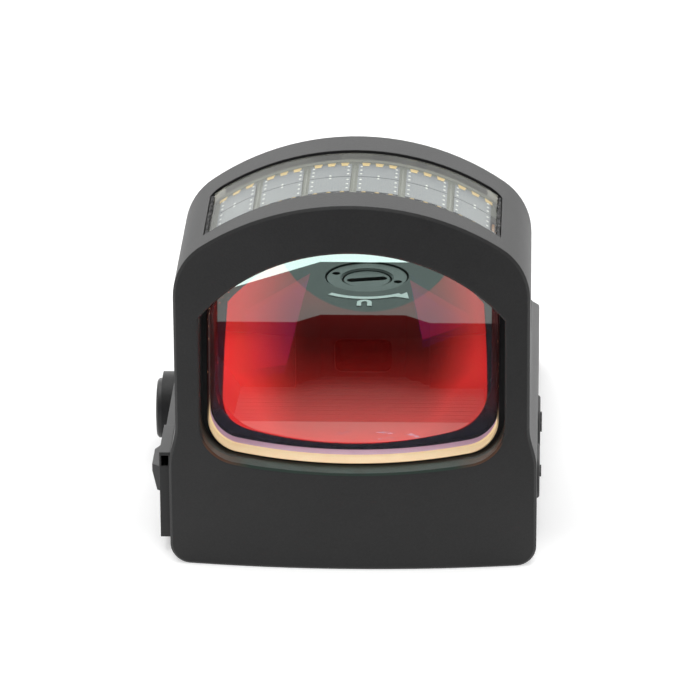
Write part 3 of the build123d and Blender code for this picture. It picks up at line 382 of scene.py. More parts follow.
def outside_shine(tree, ior, normal=None):
    """Share of light that a clear surface reflects, from its outer side alone."""
    fresnel = node(tree, "Fresnel", IOR=ior)
    if normal is not None:
        plug(tree, normal, fresnel.inputs["Normal"])
    outer = calc(tree, "SUBTRACT", 1.0, node(tree, "NewGeometry").outputs["Backfacing"])
    return calc(tree, "MULTIPLY", fresnel.outputs[0], outer)


def ground_glass(name, deep, light, painted_light):
    """Finely ground edge of a glass element, with painted light: it glows by its own emission though it is no
    lamp, is painted pale along the sill and painted dark up its sides, with bright orange specks there.
    """

    def build(tree):
        place, _, _, z = spot(tree)
        grains = noise(tree, place, 0.12 * MM, 3.0)
        cloud = noise(tree, place, 1.4 * MM, 2.0)
        lit = blend_colour(tree, mixed(tree, grains, 0.4, cloud), deep, light)
        edge_specks = ramp(tree, noise(tree, place, 0.25 * MM, 3.0), 0.66, 0.72)
        # painted shade: the edge is painted dark up its sides, with bright orange specks there
        side = ramp(tree, z, EDGE_FADE_Z, EDGE_FADE_Z + 2.2 * MM)
        unlit = blend_colour(tree, edge_specks, rgb(0.035, 0.010, 0.009), rgb(0.85, 0.42, 0.26))
        colour = blend_colour(tree, side, lit, unlit)
        return principled(
            tree,
            Base_Color=colour,
            Roughness=calc(tree, "MULTIPLY_ADD", grains, 0.2, 0.4),
            Normal=bump(tree, grains, 0.006 * MM),
            # painted light: the edge glows by its own emission
            Emission_Color=colour,
            Emission_Strength=painted_light,
        )

    return material(name, build)


def anti_reflection(tree):
    """Outer face of the lens: clear, with a faint violet anti-reflection coating."""
    shine = outside_shine(tree, 1.25)
    return shade_mix(tree, shine, clear(tree, rgb(0.98, 0.99, 0.98)), mirror(tree, rgb(0.7, 0.5, 1.0)))


def eye_side(tree):
    """Inner face of the lens: clear, with a faint green anti-reflection coating."""
    shine = outside_shine(tree, 1.25)
    return shade_mix(tree, shine, clear(tree, rgb(0.98, 0.99, 0.98)), mirror(tree, rgb(0.5, 0.9, 0.6)))


def dichroic(tree):
    """Cemented face: reflects the emitter's red and lets the rest through, a little green.

    Faint lavender streaks of cement lie just above its lower edge.
    """
    place, x, _, z = spot(tree)
    cloud = noise(tree, place, 9.0 * MM, 1.0)
    reflected = blend_colour(tree, cloud, rgb(0.70, 0.018, 0.013), rgb(0.77, 0.024, 0.018))
    coating = shade_sum(tree, clear(tree, rgb(0.65, 0.82, 0.79)), mirror(tree, reflected))
    sill = calc(tree, "MULTIPLY_ADD", calc(tree, "MULTIPLY", x, x), -0.5 / COAT_SILL_RADIUS, z)
    edge = ramp(tree, sill, STREAK_TOP, STREAK_TOP - 0.5 * MM)
    drawn = node(tree, "VectorMath", {"operation": "MULTIPLY"})
    plug(tree, place, drawn.inputs[0])
    drawn.inputs[1].default_value = (0.3, 1.0, 1.8)
    streak = ramp(tree, noise(tree, drawn.outputs[0], 0.8 * MM, 3.0), 0.62, 0.70, 0.0, 0.45)
    film = node(tree, "BsdfDiffuse", Color=rgb(0.75, 0.62, 0.85)).outputs[0]
    return shade_mix(tree, calc(tree, "MULTIPLY", edge, streak), coating, film)


def bare_glass(tree):
    """Uncoated glass, a little uneven in tint."""
    tint = noise(tree, spot(tree)[0], 6.0 * MM, 1.0)
    return clear(tree, blend_colour(tree, tint, rgb(0.93, 0.97, 0.95), rgb(0.97, 0.99, 0.98)))


def hazy_margin(tree):
    """Uncoated margin round the red coating, with a faint haze of cement."""
    haze = noise(tree, spot(tree)[0], 1.5 * MM, 2.0)
    film = node(tree, "BsdfDiffuse", Color=grey(0.8)).outputs[0]
    share = calc(tree, "MULTIPLY_ADD", haze, 0.02, 0.01)
    return shade_mix(tree, share, clear(tree, rgb(0.92, 0.95, 0.94)), film)


def dark_rim(tree):
    """Rim of the glass, with a painted reflection of the dark seal and, up its sides, of the red coating."""
    place, _, _, z = spot(tree)
    side = ramp(tree, z, RIM_SIDE_Z, RIM_SIDE_Z + 2.5 * MM)
    streaks = noise(tree, place, 0.5 * MM, 3.0)
    # painted reflection: dark seal colour low down and the maroon of the red coating up the sides, both painted
    # into the rim
    tint = blend_colour(tree, side, rgb(0.02, 0.02, 0.03), rgb(0.22, 0.07, 0.07))
    seal_reflection = blend_colour(tree, streaks, rgb(0.004, 0.005, 0.009), rgb(0.010, 0.016, 0.024))
    coat_reflection = blend_colour(tree, streaks, rgb(0.060, 0.008, 0.010), rgb(0.095, 0.018, 0.020))
    painted_light = blend_colour(tree, side, seal_reflection, coat_reflection)
    return shade_sum(tree, clear(tree, tint), node(tree, "BsdfDiffuse", Color=painted_light).outputs[0])


def arc(centre, radius, start, end, steps):
    """Points of an arc in a plane, without its last point."""
    turn = (end - start) / steps
    return [
        (
            centre[0] + radius * math.cos(start + turn * k),
            centre[1] + radius * math.sin(start + turn * k),
        )
        for k in range(steps)
    ]


def arched_outline(half, low, sill_radius, low_corner, top, arch_radius, top_corner):
    """Closed outline of an arched window: sill, side, shoulder, arch and back, as (x, z) points."""
    steps = OUTLINE_STEPS
    sill_z = low + sill_radius
    low_x = half - low_corner
    low_z = sill_z - math.sqrt((sill_radius - low_corner) ** 2 - low_x**2)
    low_turn = math.atan2(low_z - sill_z, low_x)
    arch_z = top - arch_radius
    top_x = half - top_corner
    top_z = arch_z + math.sqrt((arch_radius - top_corner) ** 2 - top_x**2)
    top_turn = math.atan2(top_z - arch_z, top_x)
    right = arc((0, sill_z), sill_radius, -math.pi / 2, low_turn, steps)
    right += arc((low_x, low_z), low_corner, low_turn, 0, steps)
    right += [(half, low_z + (top_z - low_z) * k / steps) for k in range(steps)]
    right += arc((top_x, top_z), top_corner, 0, top_turn, steps)
    right += arc((0, arch_z), arch_radius, top_turn, math.pi / 2, steps)
    right.append((0, top))
    left = [(-x, z) for x, z in reversed(right[1:-1])]
    return right + left


def lens_surface(behind):
    """Function that gives the Y of the lens sphere lying a distance behind the front face."""
    rise = LENS_LOW.z - LENS_CENTRE_Z
    centre_y = LENS_LOW.y + math.sqrt(LENS_RADIUS**2 - rise**2) + behind

    def at(x, z):
        return centre_y - math.sqrt(LENS_RADIUS**2 - x * x - (z - LENS_CENTRE_Z) ** 2)

    return at


def object_of(name, mesh, finishes, sharp_angle):
    """Smooth-shaded object made of a finished bmesh."""
    bmesh.ops.recalc_face_normals(mesh, faces=mesh.faces)
    data = bpy.data.meshes.new(name)
    mesh.to_mesh(data)
    mesh.free()
    for finish in finishes:
        data.materials.append(finish)
    data.shade_smooth()
    data.set_sharp_from_angle(angle=math.radians(sharp_angle))
    piece = bpy.data.objects.new(name, data)
    bpy.context.scene.collection.objects.link(piece)
    return piece


def between(outer, inner, share):
    """Points part of the way from one outline to another."""
    return [
        (a[0] + (b[0] - a[0]) * share, a[1] + (b[1] - a[1]) * share)
        for a, b in zip(outer, inner)
    ]


def lens_piece(name, front, rear, edge_finish, rear_bevel=GROUND_BEVEL):
    """Glass element from two sphere faces and its ground edge.

    Each face is (distance behind, zones); the zones are (inner outline or None, finish), from the
    rim inwards, and the last one reaches the middle. A rear bevel deeper than the front one takes
    the finish of the rear rim.
    """
    mesh = bmesh.new()
    middle = [(0.0, (LENS_LOW.z + LENS_HIGH.z) / 2)] * len(lens_outline)
    bevelled = between(lens_outline, middle, GROUND_BEVEL / LENS_HIGH.x)
    finishes = [edge_finish]

    def loop(points, surface, lift=0.0):
        return [mesh.verts.new((x, surface(x, z) + lift, z)) for x, z in points]

    def join(first, second, slot):
        for k in range(len(first)):
            after = (k + 1) % len(first)
            made = mesh.faces.new((first[k], first[after], second[after], second[k]))
            made.material_index = slot

    def cap(surface, boundary, zones):
        """Zones of a sphere face, from its boundary loop inwards."""
        held, start = boundary, bevelled
        for outline, finish in zones:
            finishes.append(finish)
            slot = len(finishes) - 1
            target, rings = (outline, 2) if outline else (middle, LENS_RINGS)
            for k in range(1, rings + (1 if outline else 0)):
                inner = loop(between(start, target, k / rings), surface)
                join(held, inner, slot)
                held = inner
            start = outline
        x, z = middle[0]
        tip = mesh.verts.new((x, surface(x, z), z))
        for k in range(len(held)):
            made = mesh.faces.new((held[k], held[(k + 1) % len(held)], tip))
            made.material_index = slot

    front_face, rear_face = lens_surface(front[0]), lens_surface(rear[0])
    front_loop = loop(bevelled, front_face)
    front_edge = loop(lens_outline, front_face, GROUND_BEVEL)
    rear_edge = loop(lens_outline, rear_face, -rear_bevel)
    rear_loop = loop(bevelled, rear_face)
    cap(front_face, front_loop, front[1])
    cap(rear_face, rear_loop, rear[1])
    join(front_loop, front_edge, 0)
    join(front_edge, rear_edge, 0)
    join(rear_edge, rear_loop, 1 + len(front[1]) if rear_bevel > GROUND_BEVEL else 0)
    piece = object_of(name, mesh, finishes, LENS_SHARP_ANGLE)
    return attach(piece, "housing")


def shifted(outline, across, lean):
    """Outline moved sideways and leaning towards -X with height."""
    return [(x + across - lean * (z - outline[0][1]), z) for x, z in outline]


BARE_GLASS = material("lens_bare_glass", bare_glass)
lens_outline = arched_outline(
    LENS_HIGH.x - EDGE_FIT,
    LENS_LOW.z + EDGE_FIT,
    SILL_RADIUS,
    GLASS_LOW_CORNER,
    LENS_HIGH.z - EDGE_FIT,
    ARCH_RADIUS,
    GLASS_TOP_CORNER,
)
coat_outline = shifted(
    arched_outline(
        LENS_HIGH.x - COAT_INSET,
        LENS_LOW.z + COAT_RISE,
        COAT_SILL_RADIUS,
        COAT_LOW_CORNER,
        LENS_HIGH.z - COAT_DROP,
        ARCH_RADIUS,
        COAT_TOP_CORNER,
    ),
    COAT_SHIFT,
    COAT_LEAN,
)
rim_outline = arched_outline(
    LENS_HIGH.x - RIM_INSET,
    LENS_LOW.z + RIM_RISE,
    COAT_SILL_RADIUS,
    RIM_LOW_CORNER,
    LENS_HIGH.z - RIM_DROP,
    ARCH_RADIUS,
    RIM_TOP_CORNER,
)
outer_glass = lens_piece(
    "front_lens",
    (0.0, [(None, material("lens_outer_coating", anti_reflection))]),
    (FRONT_GLASS - CEMENT_GAP, [(None, BARE_GLASS)]),
    ground_glass("front_lens_edge", rgb(0.86, 0.58, 0.31), rgb(1.0, 0.80, 0.50), 0.30),
)
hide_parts("lens_front_element")
inner_glass = lens_piece(
    "rear_lens",
    (
        FRONT_GLASS,
        [
            (coat_outline, material("lens_hazy_margin", hazy_margin)),
            (None, material("lens_red_coating", dichroic)),
        ],
    ),
    (
        FRONT_GLASS + REAR_GLASS,
        [
            (rim_outline, material("lens_dark_rim", dark_rim)),
            (None, material("lens_inner_coating", eye_side)),
        ],
    ),
    ground_glass("rear_lens_edge", rgb(0.66, 0.36, 0.52), rgb(0.85, 0.55, 0.72), 0.25),
    BLACKED_BEVEL,
)
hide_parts("lens_rear_element")


# === Solar panel =================================================================================
def silicon(tree):
    """Solar cells: blue-grey silicon with fine collector lines."""
    place, x, _, _ = spot(tree)
    finger = ramp(tree, waves(tree, x, 0.22 * MM), 0.80, 0.98)
    cloud = noise(tree, place, 1.6 * MM)
    base = blend_colour(tree, cloud, rgb(0.122, 0.135, 0.165), rgb(0.146, 0.160, 0.192))
    colour = blend_colour(tree, calc(tree, "MULTIPLY", finger, 0.30), base, rgb(0.24, 0.25, 0.28))
    return principled(
        tree, Base_Color=colour, Roughness=calc(tree, "MULTIPLY_ADD", cloud, 0.1, 0.3)
    )


def laminate(tree):
    """Grey-green laminate under the cells."""
    place = spot(tree)[0]
    weave = noise(tree, place, 0.25 * MM, 3.0)
    cloud = noise(tree, place, 2.0 * MM)
    return principled(
        tree,
        Base_Color=blend_colour(
            tree, mixed(tree, weave, 0.4, cloud), rgb(0.105, 0.110, 0.092), rgb(0.155, 0.162, 0.140)
        ),
        Roughness=calc(tree, "MULTIPLY_ADD", weave, 0.2, 0.45),
        Normal=bump(tree, weave, 0.004 * MM),
    )


def upright(tree, low, high):
    """Value that goes from low on faces looking up or down to high on upright faces."""
    return ramp(tree, calc(tree, "ABSOLUTE", facing_up(tree)), 0.35, 0.25, low, high)


def resin(tree):
    """Clear cast resin over the cells: soft orange-peel top, milky sawn side faces."""
    place = spot(tree)[0]
    sawn = upright(tree, 0.02, 0.75)
    peel = noise(tree, place, 2.5 * MM, 2.0)
    normal = bump(tree, peel, 0.004 * MM)
    haze = blend_colour(tree, peel, rgb(0.58, 0.59, 0.56), rgb(0.66, 0.67, 0.64))
    milky = shade_mix(
        tree, sawn, clear(tree, rgb(0.97, 0.98, 0.96)), node(tree, "BsdfDiffuse", Color=haze).outputs[0]
    )
    gloss = node(tree, "BsdfGlossy", Color=grey(0.6), Roughness=0.10, Normal=normal).outputs[0]
    return shade_mix(tree, outside_shine(tree, 1.2, normal), milky, gloss)


def cast_sealant(name, level, specks=0.0, lining=0.0):
    """Black sealant, with pale specks in it and a pale lining where it wets upright faces."""

    def build(tree):
        place = spot(tree)[0]
        lumps = noise(tree, place, 0.35 * MM, 4.0, 0.7)
        dark_body = blend_colour(tree, lumps, grey(level * 0.5), grey(level * 1.6))
        dust = ramp(tree, noise(tree, place, 0.16 * MM, 3.0, 0.6), 0.58, 0.70, 0.0, specks)
        body = blend_colour(tree, dust, dark_body, grey(0.35))
        return principled(
            tree,
            Base_Color=blend_colour(tree, upright(tree, 0.0, lining), body, rgb(0.46, 0.47, 0.43)),
            Roughness=calc(tree, "MULTIPLY_ADD", lumps, 0.3, 0.25),
            Normal=bump(tree, lumps, 0.03 * MM),
        )

    return material(name, build)


# === Circuits, emitter and markings ==============================================================
def circuit(tree):
    """Green solder mask with traces, vias and gold pads."""
    place = spot(tree)[0]
    shape = {"distance": "MANHATTAN", "feature": "F1"}
    cells = node(tree, "TexVoronoi", shape, Vector=place, Scale=1 / (1.1 * MM))
    via = ramp(tree, cells.outputs["Distance"], 0.16, 0.13)
    bands = node(tree, "TexBrick", Vector=place, Scale=1 / (1.3 * MM), Mortar_Size=0.06)
    trace = bands.outputs["Fac"]
    mask = blend_colour(tree, trace, rgb(0.012, 0.085, 0.035), rgb(0.035, 0.16, 0.06))
    return principled(
        tree,
        Base_Color=blend_colour(tree, via, mask, rgb(0.72, 0.50, 0.16)),
        Metallic=via,
        Roughness=calc(tree, "MULTIPLY_ADD", trace, 0.1, 0.30),
        Normal=bump(tree, trace, 0.01 * MM),
    )


def chip_body(tree):
    """Matt black epoxy of a chip."""
    place = spot(tree)[0]
    fine = noise(tree, place, 0.10 * MM, 3.0)
    return principled(
        tree,
        Base_Color=blend_colour(tree, fine, grey(0.010), grey(0.028)),
        Roughness=calc(tree, "MULTIPLY_ADD", fine, 0.2, 0.5),
        Normal=bump(tree, fine, 0.004 * MM),
    )


def polyimide(tree):
    """Amber flexible circuit with copper tracks showing through."""
    _, x, y, _ = spot(tree)
    seen = ramp(tree, waves(tree, calc(tree, "ADD", x, y), 0.5 * MM), -0.2, 0.2)
    return principled(
        tree,
        Base_Color=blend_colour(tree, seen, rgb(0.45, 0.17, 0.03), rgb(0.62, 0.27, 0.07)),
        Roughness=calc(tree, "MULTIPLY_ADD", seen, 0.05, 0.22),
        Normal=bump(tree, seen, 0.006 * MM),
    )


def emitter_pane(tree):
    """Polished cover glass of the emitter recess, with faint dust."""
    place = spot(tree)[0]
    dust = ramp(tree, noise(tree, place, 0.25 * MM, 4.0, 0.7), 0.66, 0.80)
    shine = outside_shine(tree, 1.5)
    pane = shade_mix(tree, shine, clear(tree, rgb(0.24, 0.20, 0.20)), mirror(tree, rgb(0.3, 0.3, 0.33)))
    specks = node(tree, "BsdfDiffuse", Color=grey(0.5)).outputs[0]
    return shade_mix(tree, calc(tree, "MULTIPLY", dust, 0.05), pane, specks)


def paint_white(tree):
    """White filler in a fine engraving."""
    place = spot(tree)[0]
    grains = noise(tree, place, 0.08 * MM, 3.0)
    return principled(
        tree,
        Base_Color=blend_colour(tree, grains, grey(0.35), grey(0.56)),
        Roughness=calc(tree, "MULTIPLY_ADD", grains, 0.2, 0.45),
        Normal=bump(tree, grains, 0.006 * MM),
    )


def led_body(tree):
    """Red-tinted resin of the emitter."""
    place = spot(tree)[0]
    cloud = noise(tree, place, 0.3 * MM)
    return principled(
        tree,
        Base_Color=blend_colour(tree, cloud, rgb(0.5, 0.02, 0.015), rgb(0.75, 0.05, 0.03)),
        Roughness=calc(tree, "MULTIPLY_ADD", cloud, 0.1, 0.12),
    )


# === Finish of every node ========================================================================
def axis_of(joint_name):
    """A hinge's point and axis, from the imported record."""
    joint = next(j for j in frame["joints"] if j["name"] == joint_name)
    return joint["pos_m"], joint["axis"]


ELEVATION, WINDAGE = axis_of("elevation_turn"), axis_of("windage_turn")

FINISHES = {
    "anodised_housing": anodised(
        "housing_anodising", 0.0125, 0.48, 0.30, 0.16 * MM, 0.016 * MM, (lit_sill_flat, window_lip_reflection)
    ),
    "anodised_cover": anodised("cover_anodising", 0.014, 0.38, 0.45),
    "anodised_tray": anodised("tray_anodising", 0.012, 0.45, 0.42),
    "lens_glass": BARE_GLASS,
    "lens_glass_rear": BARE_GLASS,
    "lens_seal": cast_sealant("lens_sealant_black", 0.012),
    "solar_backing": material("solar_laminate", laminate),
    "solar_silicon": material("solar_silicon", silicon),
    "gold_pads": brushed("gold_pads", rgb(0.62, 0.42, 0.14), rgb(0.90, 0.66, 0.28), 0.42, 0.25),
    "solar_resin": material("solar_resin", resin),
    "solar_seal": cast_sealant("solar_sealant_black", 0.010, 0.0, 1.0),
    "flex_circuit": material("flex_polyimide", polyimide),
    "o_ring_rubber": moulded("o_ring_rubber", grey(0.006), grey(0.014), 0.45),
    "spring_steel": brushed("spring_steel", grey(0.35), grey(0.55), 0.35),
    "white_mark": material("mark_paint", paint_white),
    "emitter_glass": material("emitter_pane", emitter_pane),
    "circuit_board": material("circuit_board", circuit),
    "chip_epoxy": material("chip_epoxy", chip_body),
    "connector_plastic": moulded("connector_nylon", rgb(0.48, 0.44, 0.34), rgb(0.60, 0.56, 0.46), 0.5),
    "switch_metal": brushed("switch_steel", grey(0.35), grey(0.52), 0.35),
    "contact_gold": brushed("contact_gold", rgb(0.62, 0.42, 0.14), rgb(0.85, 0.62, 0.26), 0.25),
    "black_steel": brushed("black_steel", grey(0.02), grey(0.05), 0.42, 0.6),
    "brass_carriage": brushed("carriage_brass", rgb(0.42, 0.28, 0.09), rgb(0.62, 0.44, 0.17), 0.35),
    "holder_metal": brushed("holder_aluminium", grey(0.38), grey(0.52), 0.38),
    "led_resin": material("led_resin", led_body),
    "cell_steel": brushed("cell_nickel", grey(0.50), grey(0.68), 0.28, 1.0, (4, 4, 1), 0.5 * MM),
    "button_rubber": moulded("button_rubber", grey(0.010), grey(0.022), 0.62, 0.10 * MM, 0.008 * MM),
}
BY_NODE = {
    "elevation_screw": turned_metal("elevation_screw_black", 0.020, *ELEVATION),
    "elevation_retaining_ring": turned_metal("elevation_ring_black", 0.014, *ELEVATION),
    "windage_screw": turned_metal("windage_screw_black", 0.020, *WINDAGE),
    "windage_retaining_ring": turned_metal("windage_ring_black", 0.014, *WINDAGE),
}
SLOT_OF = {part["node"]: part["material_slot"] for part in frame["record"]["subparts"]}
for name, piece in NODES.items():
    finish = BY_NODE.get(name) or FINISHES[SLOT_OF[name]]
    if not piece.material_slots:
        piece.data.materials.append(finish)
    for held in piece.material_slots:
        held.link = "OBJECT"
        held.material = finish


# === Solar panel details =========================================================================
CROWN_CENTRE_Z = 10.05 * MM
FACE_Y = -34.6 * MM
CELL_PITCH = 3.66 * MM
CELL_MARGIN = 0.275 * MM
CELLS_HALF = 10.35 * MM
CELL_RADIUS = 18.75 * MM
BACKING_RADIUS = 18.6 * MM
CELL_ROWS = ((4.3 * MM, 7.45 * MM), (7.57 * MM, 10.3 * MM))
PANEL_START, PANEL_END = 2.17 * MM, 11.25 * MM
PAD_PITCH = 1.02 * MM
DOT_SIDES = 10
BOND_SIZE = 0.10 * MM
BOND_HEIGHT = 0.03 * MM
BOND_INSET = 0.22 * MM
BOND_SHARES = (0.2, 0.5, 0.8)
GOLD_GAP = 0.02 * MM
FRONT_GOLD_REACH, FRONT_GOLD_HALF = 0.14 * MM, 0.16 * MM
REAR_GOLD_REACH, REAR_GOLD_HALF = 0.38 * MM, 0.25 * MM
REAR_GOLD_HIGH = 0.03 * MM
RIBBON_HALF, RIBBON_HIGH = 0.07 * MM, 0.05 * MM
RIBBON_FRONT, RIBBON_REAR = 0.6 * MM, 0.1 * MM


def on_crown(x, depth, radius):
    """Point above the sight's side position x, on a cylinder that follows the crown."""
    return Vector((x, FACE_Y + depth, CROWN_CENTRE_Z + math.sqrt(radius**2 - x * x)))


def crown_plate(mesh, x_range, depths, low, high, steps=4):
    """Thin raised plate that follows the crown between two radii, its top a little narrower."""
    trim = (high - low) * 0.6
    loops = []
    for radius, inset in ((low, 0.0), (high - trim * 0.3, 0.0), (high, trim)):
        x0, x1 = x_range[0] + inset, x_range[1] - inset
        d0, d1 = depths[0] + inset, depths[1] - inset
        across = [x0 + (x1 - x0) * k / steps for k in range(steps + 1)]
        ring = [on_crown(x, d0, radius) for x in across]
        ring += [on_crown(x, d1, radius) for x in reversed(across)]
        loops.append([mesh.verts.new(place) for place in ring])
    for first, second in zip(loops, loops[1:]):
        for k in range(len(first)):
            after = (k + 1) % len(first)
            mesh.faces.new((first[k], first[after], second[after], second[k]))
    top = loops[-1]
    for k in range(steps):
        mesh.faces.new((top[k], top[k + 1], top[-k - 2], top[-k - 1]))


def crown_dot(mesh, x, depth, radius, size, height):
    """Small domed blob standing on the crown."""
    rings = []
    for share, lift in ((1.0, 0.0), (0.85, 0.6), (0.5, 0.92)):
        ring = []
        for k in range(DOT_SIDES):
            turn = 2 * math.pi * k / DOT_SIDES
            across, along = size * share * math.cos(turn), size * share * math.sin(turn)
            ring.append(mesh.verts.new(on_crown(x + across, depth + along, radius + height * lift)))
        rings.append(ring)
    tip = mesh.verts.new(on_crown(x, depth, radius + height))
    for first, second in zip(rings, rings[1:]):
        for k in range(DOT_SIDES):
            after = (k + 1) % DOT_SIDES
            mesh.faces.new((first[k], first[after], second[after], second[k]))
    for k in range(DOT_SIDES):
        mesh.faces.new((rings[-1][k], rings[-1][(k + 1) % DOT_SIDES], tip))


def housing_piece(name, mesh, finish, sharp_angle=30):
    """Object of one finish, made of a finished bmesh and riding on the housing."""
    piece = object_of(name, mesh, [finish], sharp_angle)
    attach(piece, "housing")
    return piece


def solder(tree):
    """Bright solder of the bonds."""
    place = spot(tree)[0]
    grains = noise(tree, place, 0.05 * MM, 2.0)
    return principled(
        tree,
        Base_Color=blend_colour(tree, grains, grey(0.75), grey(0.95)),
        Roughness=calc(tree, "MULTIPLY_ADD", grains, 0.2, 0.45),
        Normal=bump(tree, grains, 0.003 * MM),
    )


def ribbon_tin(tree):
    """Dull tinned ribbon between the cells."""
    place = spot(tree)[0]
    grains = noise(tree, place, 0.12 * MM, 3.0)
    return principled(
        tree,
        Base_Color=blend_colour(tree, grains, rgb(0.13, 0.135, 0.115), rgb(0.18, 0.185, 0.165)),
        Roughness=calc(tree, "MULTIPLY_ADD", grains, 0.2, 0.35),
        Normal=bump(tree, grains, 0.004 * MM),
    )


bonds, edge_gold, ribbons = bmesh.new(), bmesh.new(), bmesh.new()
for column in range(-3, 3):
    low = max(CELL_PITCH * column + CELL_MARGIN, -CELLS_HALF)
    high = min(CELL_PITCH * (column + 1) - CELL_MARGIN, CELLS_HALF)
    middle = CELL_PITCH * (column + 0.5)
    for start, end in CELL_ROWS:
        for share in BOND_SHARES:
            depth = start + (end - start) * share
            for x in (low + BOND_INSET, high - BOND_INSET):
                crown_dot(bonds, x, depth, CELL_RADIUS, BOND_SIZE, BOND_HEIGHT)
    for depth in (CELL_ROWS[0][1] - BOND_INSET, CELL_ROWS[1][0] + BOND_INSET):
        crown_dot(bonds, middle, depth, CELL_RADIUS, BOND_SIZE, BOND_HEIGHT)
    for step in (-1, 0, 1):
        x = middle + PAD_PITCH * step
        crown_plate(
            edge_gold,
            (x - FRONT_GOLD_HALF, x + FRONT_GOLD_HALF),
            (CELL_ROWS[0][0] - FRONT_GOLD_REACH, CELL_ROWS[0][0] - GOLD_GAP),
            BACKING_RADIUS,
            CELL_RADIUS,
        )
        crown_plate(
            edge_gold,
            (x - REAR_GOLD_HALF, x + REAR_GOLD_HALF),
            (CELL_ROWS[1][1] - REAR_GOLD_REACH, CELL_ROWS[1][1] - GOLD_GAP),
            CELL_RADIUS,
            CELL_RADIUS + REAR_GOLD_HIGH,
        )
for line in range(-2, 3):
    x = CELL_PITCH * line
    crown_plate(
        ribbons,
        (x - RIBBON_HALF, x + RIBBON_HALF),
        (CELL_ROWS[0][0] - RIBBON_FRONT, CELL_ROWS[1][1] + RIBBON_REAR),
        BACKING_RADIUS,
        BACKING_RADIUS + RIBBON_HIGH,
        2,
    )
GOLD = FINISHES["gold_pads"]
housing_piece("solar_bonds", bonds, material("solder_bonds", solder), 60)
housing_piece("solar_edge_contacts", edge_gold, GOLD)
housing_piece("solar_ribbons", ribbons, material("tinned_ribbon", ribbon_tin))


BEAD_X = 11.025 * MM
BEAD_BASE = 19.2 * MM
BEAD_HALF = 0.22 * MM
BEAD_HIGH = 0.24 * MM
BEAD_STEPS, BEAD_SIDES = 120, 8
BEAD_WANDER = 0.18
BEAD_ROUGHNESS = (0.62, 1.12)
BEAD_START = PANEL_START + 0.1 * MM
BEAD_END = PANEL_END - 0.7 * MM


def sealant_bead(mesh, x, start, end, half, high, base):
    """Ragged bead of sealant along one side gap of the panel."""
    held = None
    for k in range(BEAD_STEPS + 1):
        depth = start + (end - start) * k / BEAD_STEPS
        ring = []
        wander = random.uniform(-BEAD_WANDER, BEAD_WANDER) * half
        for j in range(BEAD_SIDES + 1):
            turn = math.pi * j / BEAD_SIDES
            rough = random.uniform(*BEAD_ROUGHNESS)
            across = math.cos(turn) * half * min(rough, 1.0) + wander * math.sin(turn)
            lift = math.sin(turn) * high * rough
            ring.append(mesh.verts.new(on_crown(x + across, depth, base + lift)))
        if held:
            for j in range(BEAD_SIDES):
                mesh.faces.new((held[j], held[j + 1], ring[j + 1], ring[j]))
        held = ring


beads = bmesh.new()
for side in (-1, 1):
    sealant_bead(beads, side * BEAD_X, BEAD_START, BEAD_END, BEAD_HALF, BEAD_HIGH, BEAD_BASE)
smear = cast_sealant("smeared_sealant", 0.010, 0.6)
housing_piece("solar_sealant_beads", beads, smear, 50)


# === Elevation spring ============================================================================
SPRING_LOW, SPRING_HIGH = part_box("elevation_spring")
SPRING_WIRE = 0.2 * MM
SPRING_TURNS = 5
STEPS_PER_TURN = 36
WIRE_SIDES = 12
CLOSED_SHARE = 0.12


def spring_piece():
    """Coil spring with closed ends, under the carriage.

    That is right on the way down, but at the top of the travel it leaves a gap, where a real spring
    would follow the carriage up.
    """
    centre = (SPRING_LOW + SPRING_HIGH) / 2
    coil = SPRING_HIGH.x - centre.x - SPRING_WIRE
    low, high = SPRING_LOW.z + SPRING_WIRE, SPRING_HIGH.z - SPRING_WIRE
    mesh = bmesh.new()
    held = None
    steps = SPRING_TURNS * STEPS_PER_TURN
    for k in range(steps + 1):
        turn = 2 * math.pi * k / STEPS_PER_TURN
        share = min(max((k / steps - CLOSED_SHARE) / (1 - 2 * CLOSED_SHARE), 0.0), 1.0)
        rise = low + (high - low) * (share * share * (3 - 2 * share))
        ring = []
        for j in range(WIRE_SIDES):
            side = 2 * math.pi * j / WIRE_SIDES
            radius = coil + SPRING_WIRE * math.cos(side)
            place = (
                centre.x + radius * math.cos(turn),
                centre.y + radius * math.sin(turn),
                rise + SPRING_WIRE * math.sin(side),
            )
            ring.append(mesh.verts.new(place))
        if held:
            for j in range(WIRE_SIDES):
                after = (j + 1) % WIRE_SIDES
                mesh.faces.new((held[j], held[after], ring[after], ring[j]))
        else:
            mesh.faces.new(ring)
        held = ring
    mesh.faces.new(held)
    piece = housing_piece("elevation_spring_coil", mesh, FINISHES["spring_steel"])
    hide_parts("elevation_spring")
    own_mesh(piece)


spring_piece()


# === Studio ======================================================================================
CAMERA_TARGET = Vector((0.0, -22.6 * MM, 14.0 * MM))
CAMERA_DISTANCE = 419.3 * MM
CAMERA_AZIMUTH = 2.247
CAMERA_ELEVATION = 21.329
CAMERA_PAN = -0.083
CAMERA_TILT = -0.143
CAMERA_ROLL = -0.428
CAMERA_LENS = 277.6


def direction(azimuth, elevation):
    """Unit vector from the target, with azimuth 0 on the objective side."""
    a, e = math.radians(azimuth), math.radians(elevation)
    return Vector((math.sin(a) * math.cos(e), -math.cos(a) * math.cos(e), math.sin(e)))


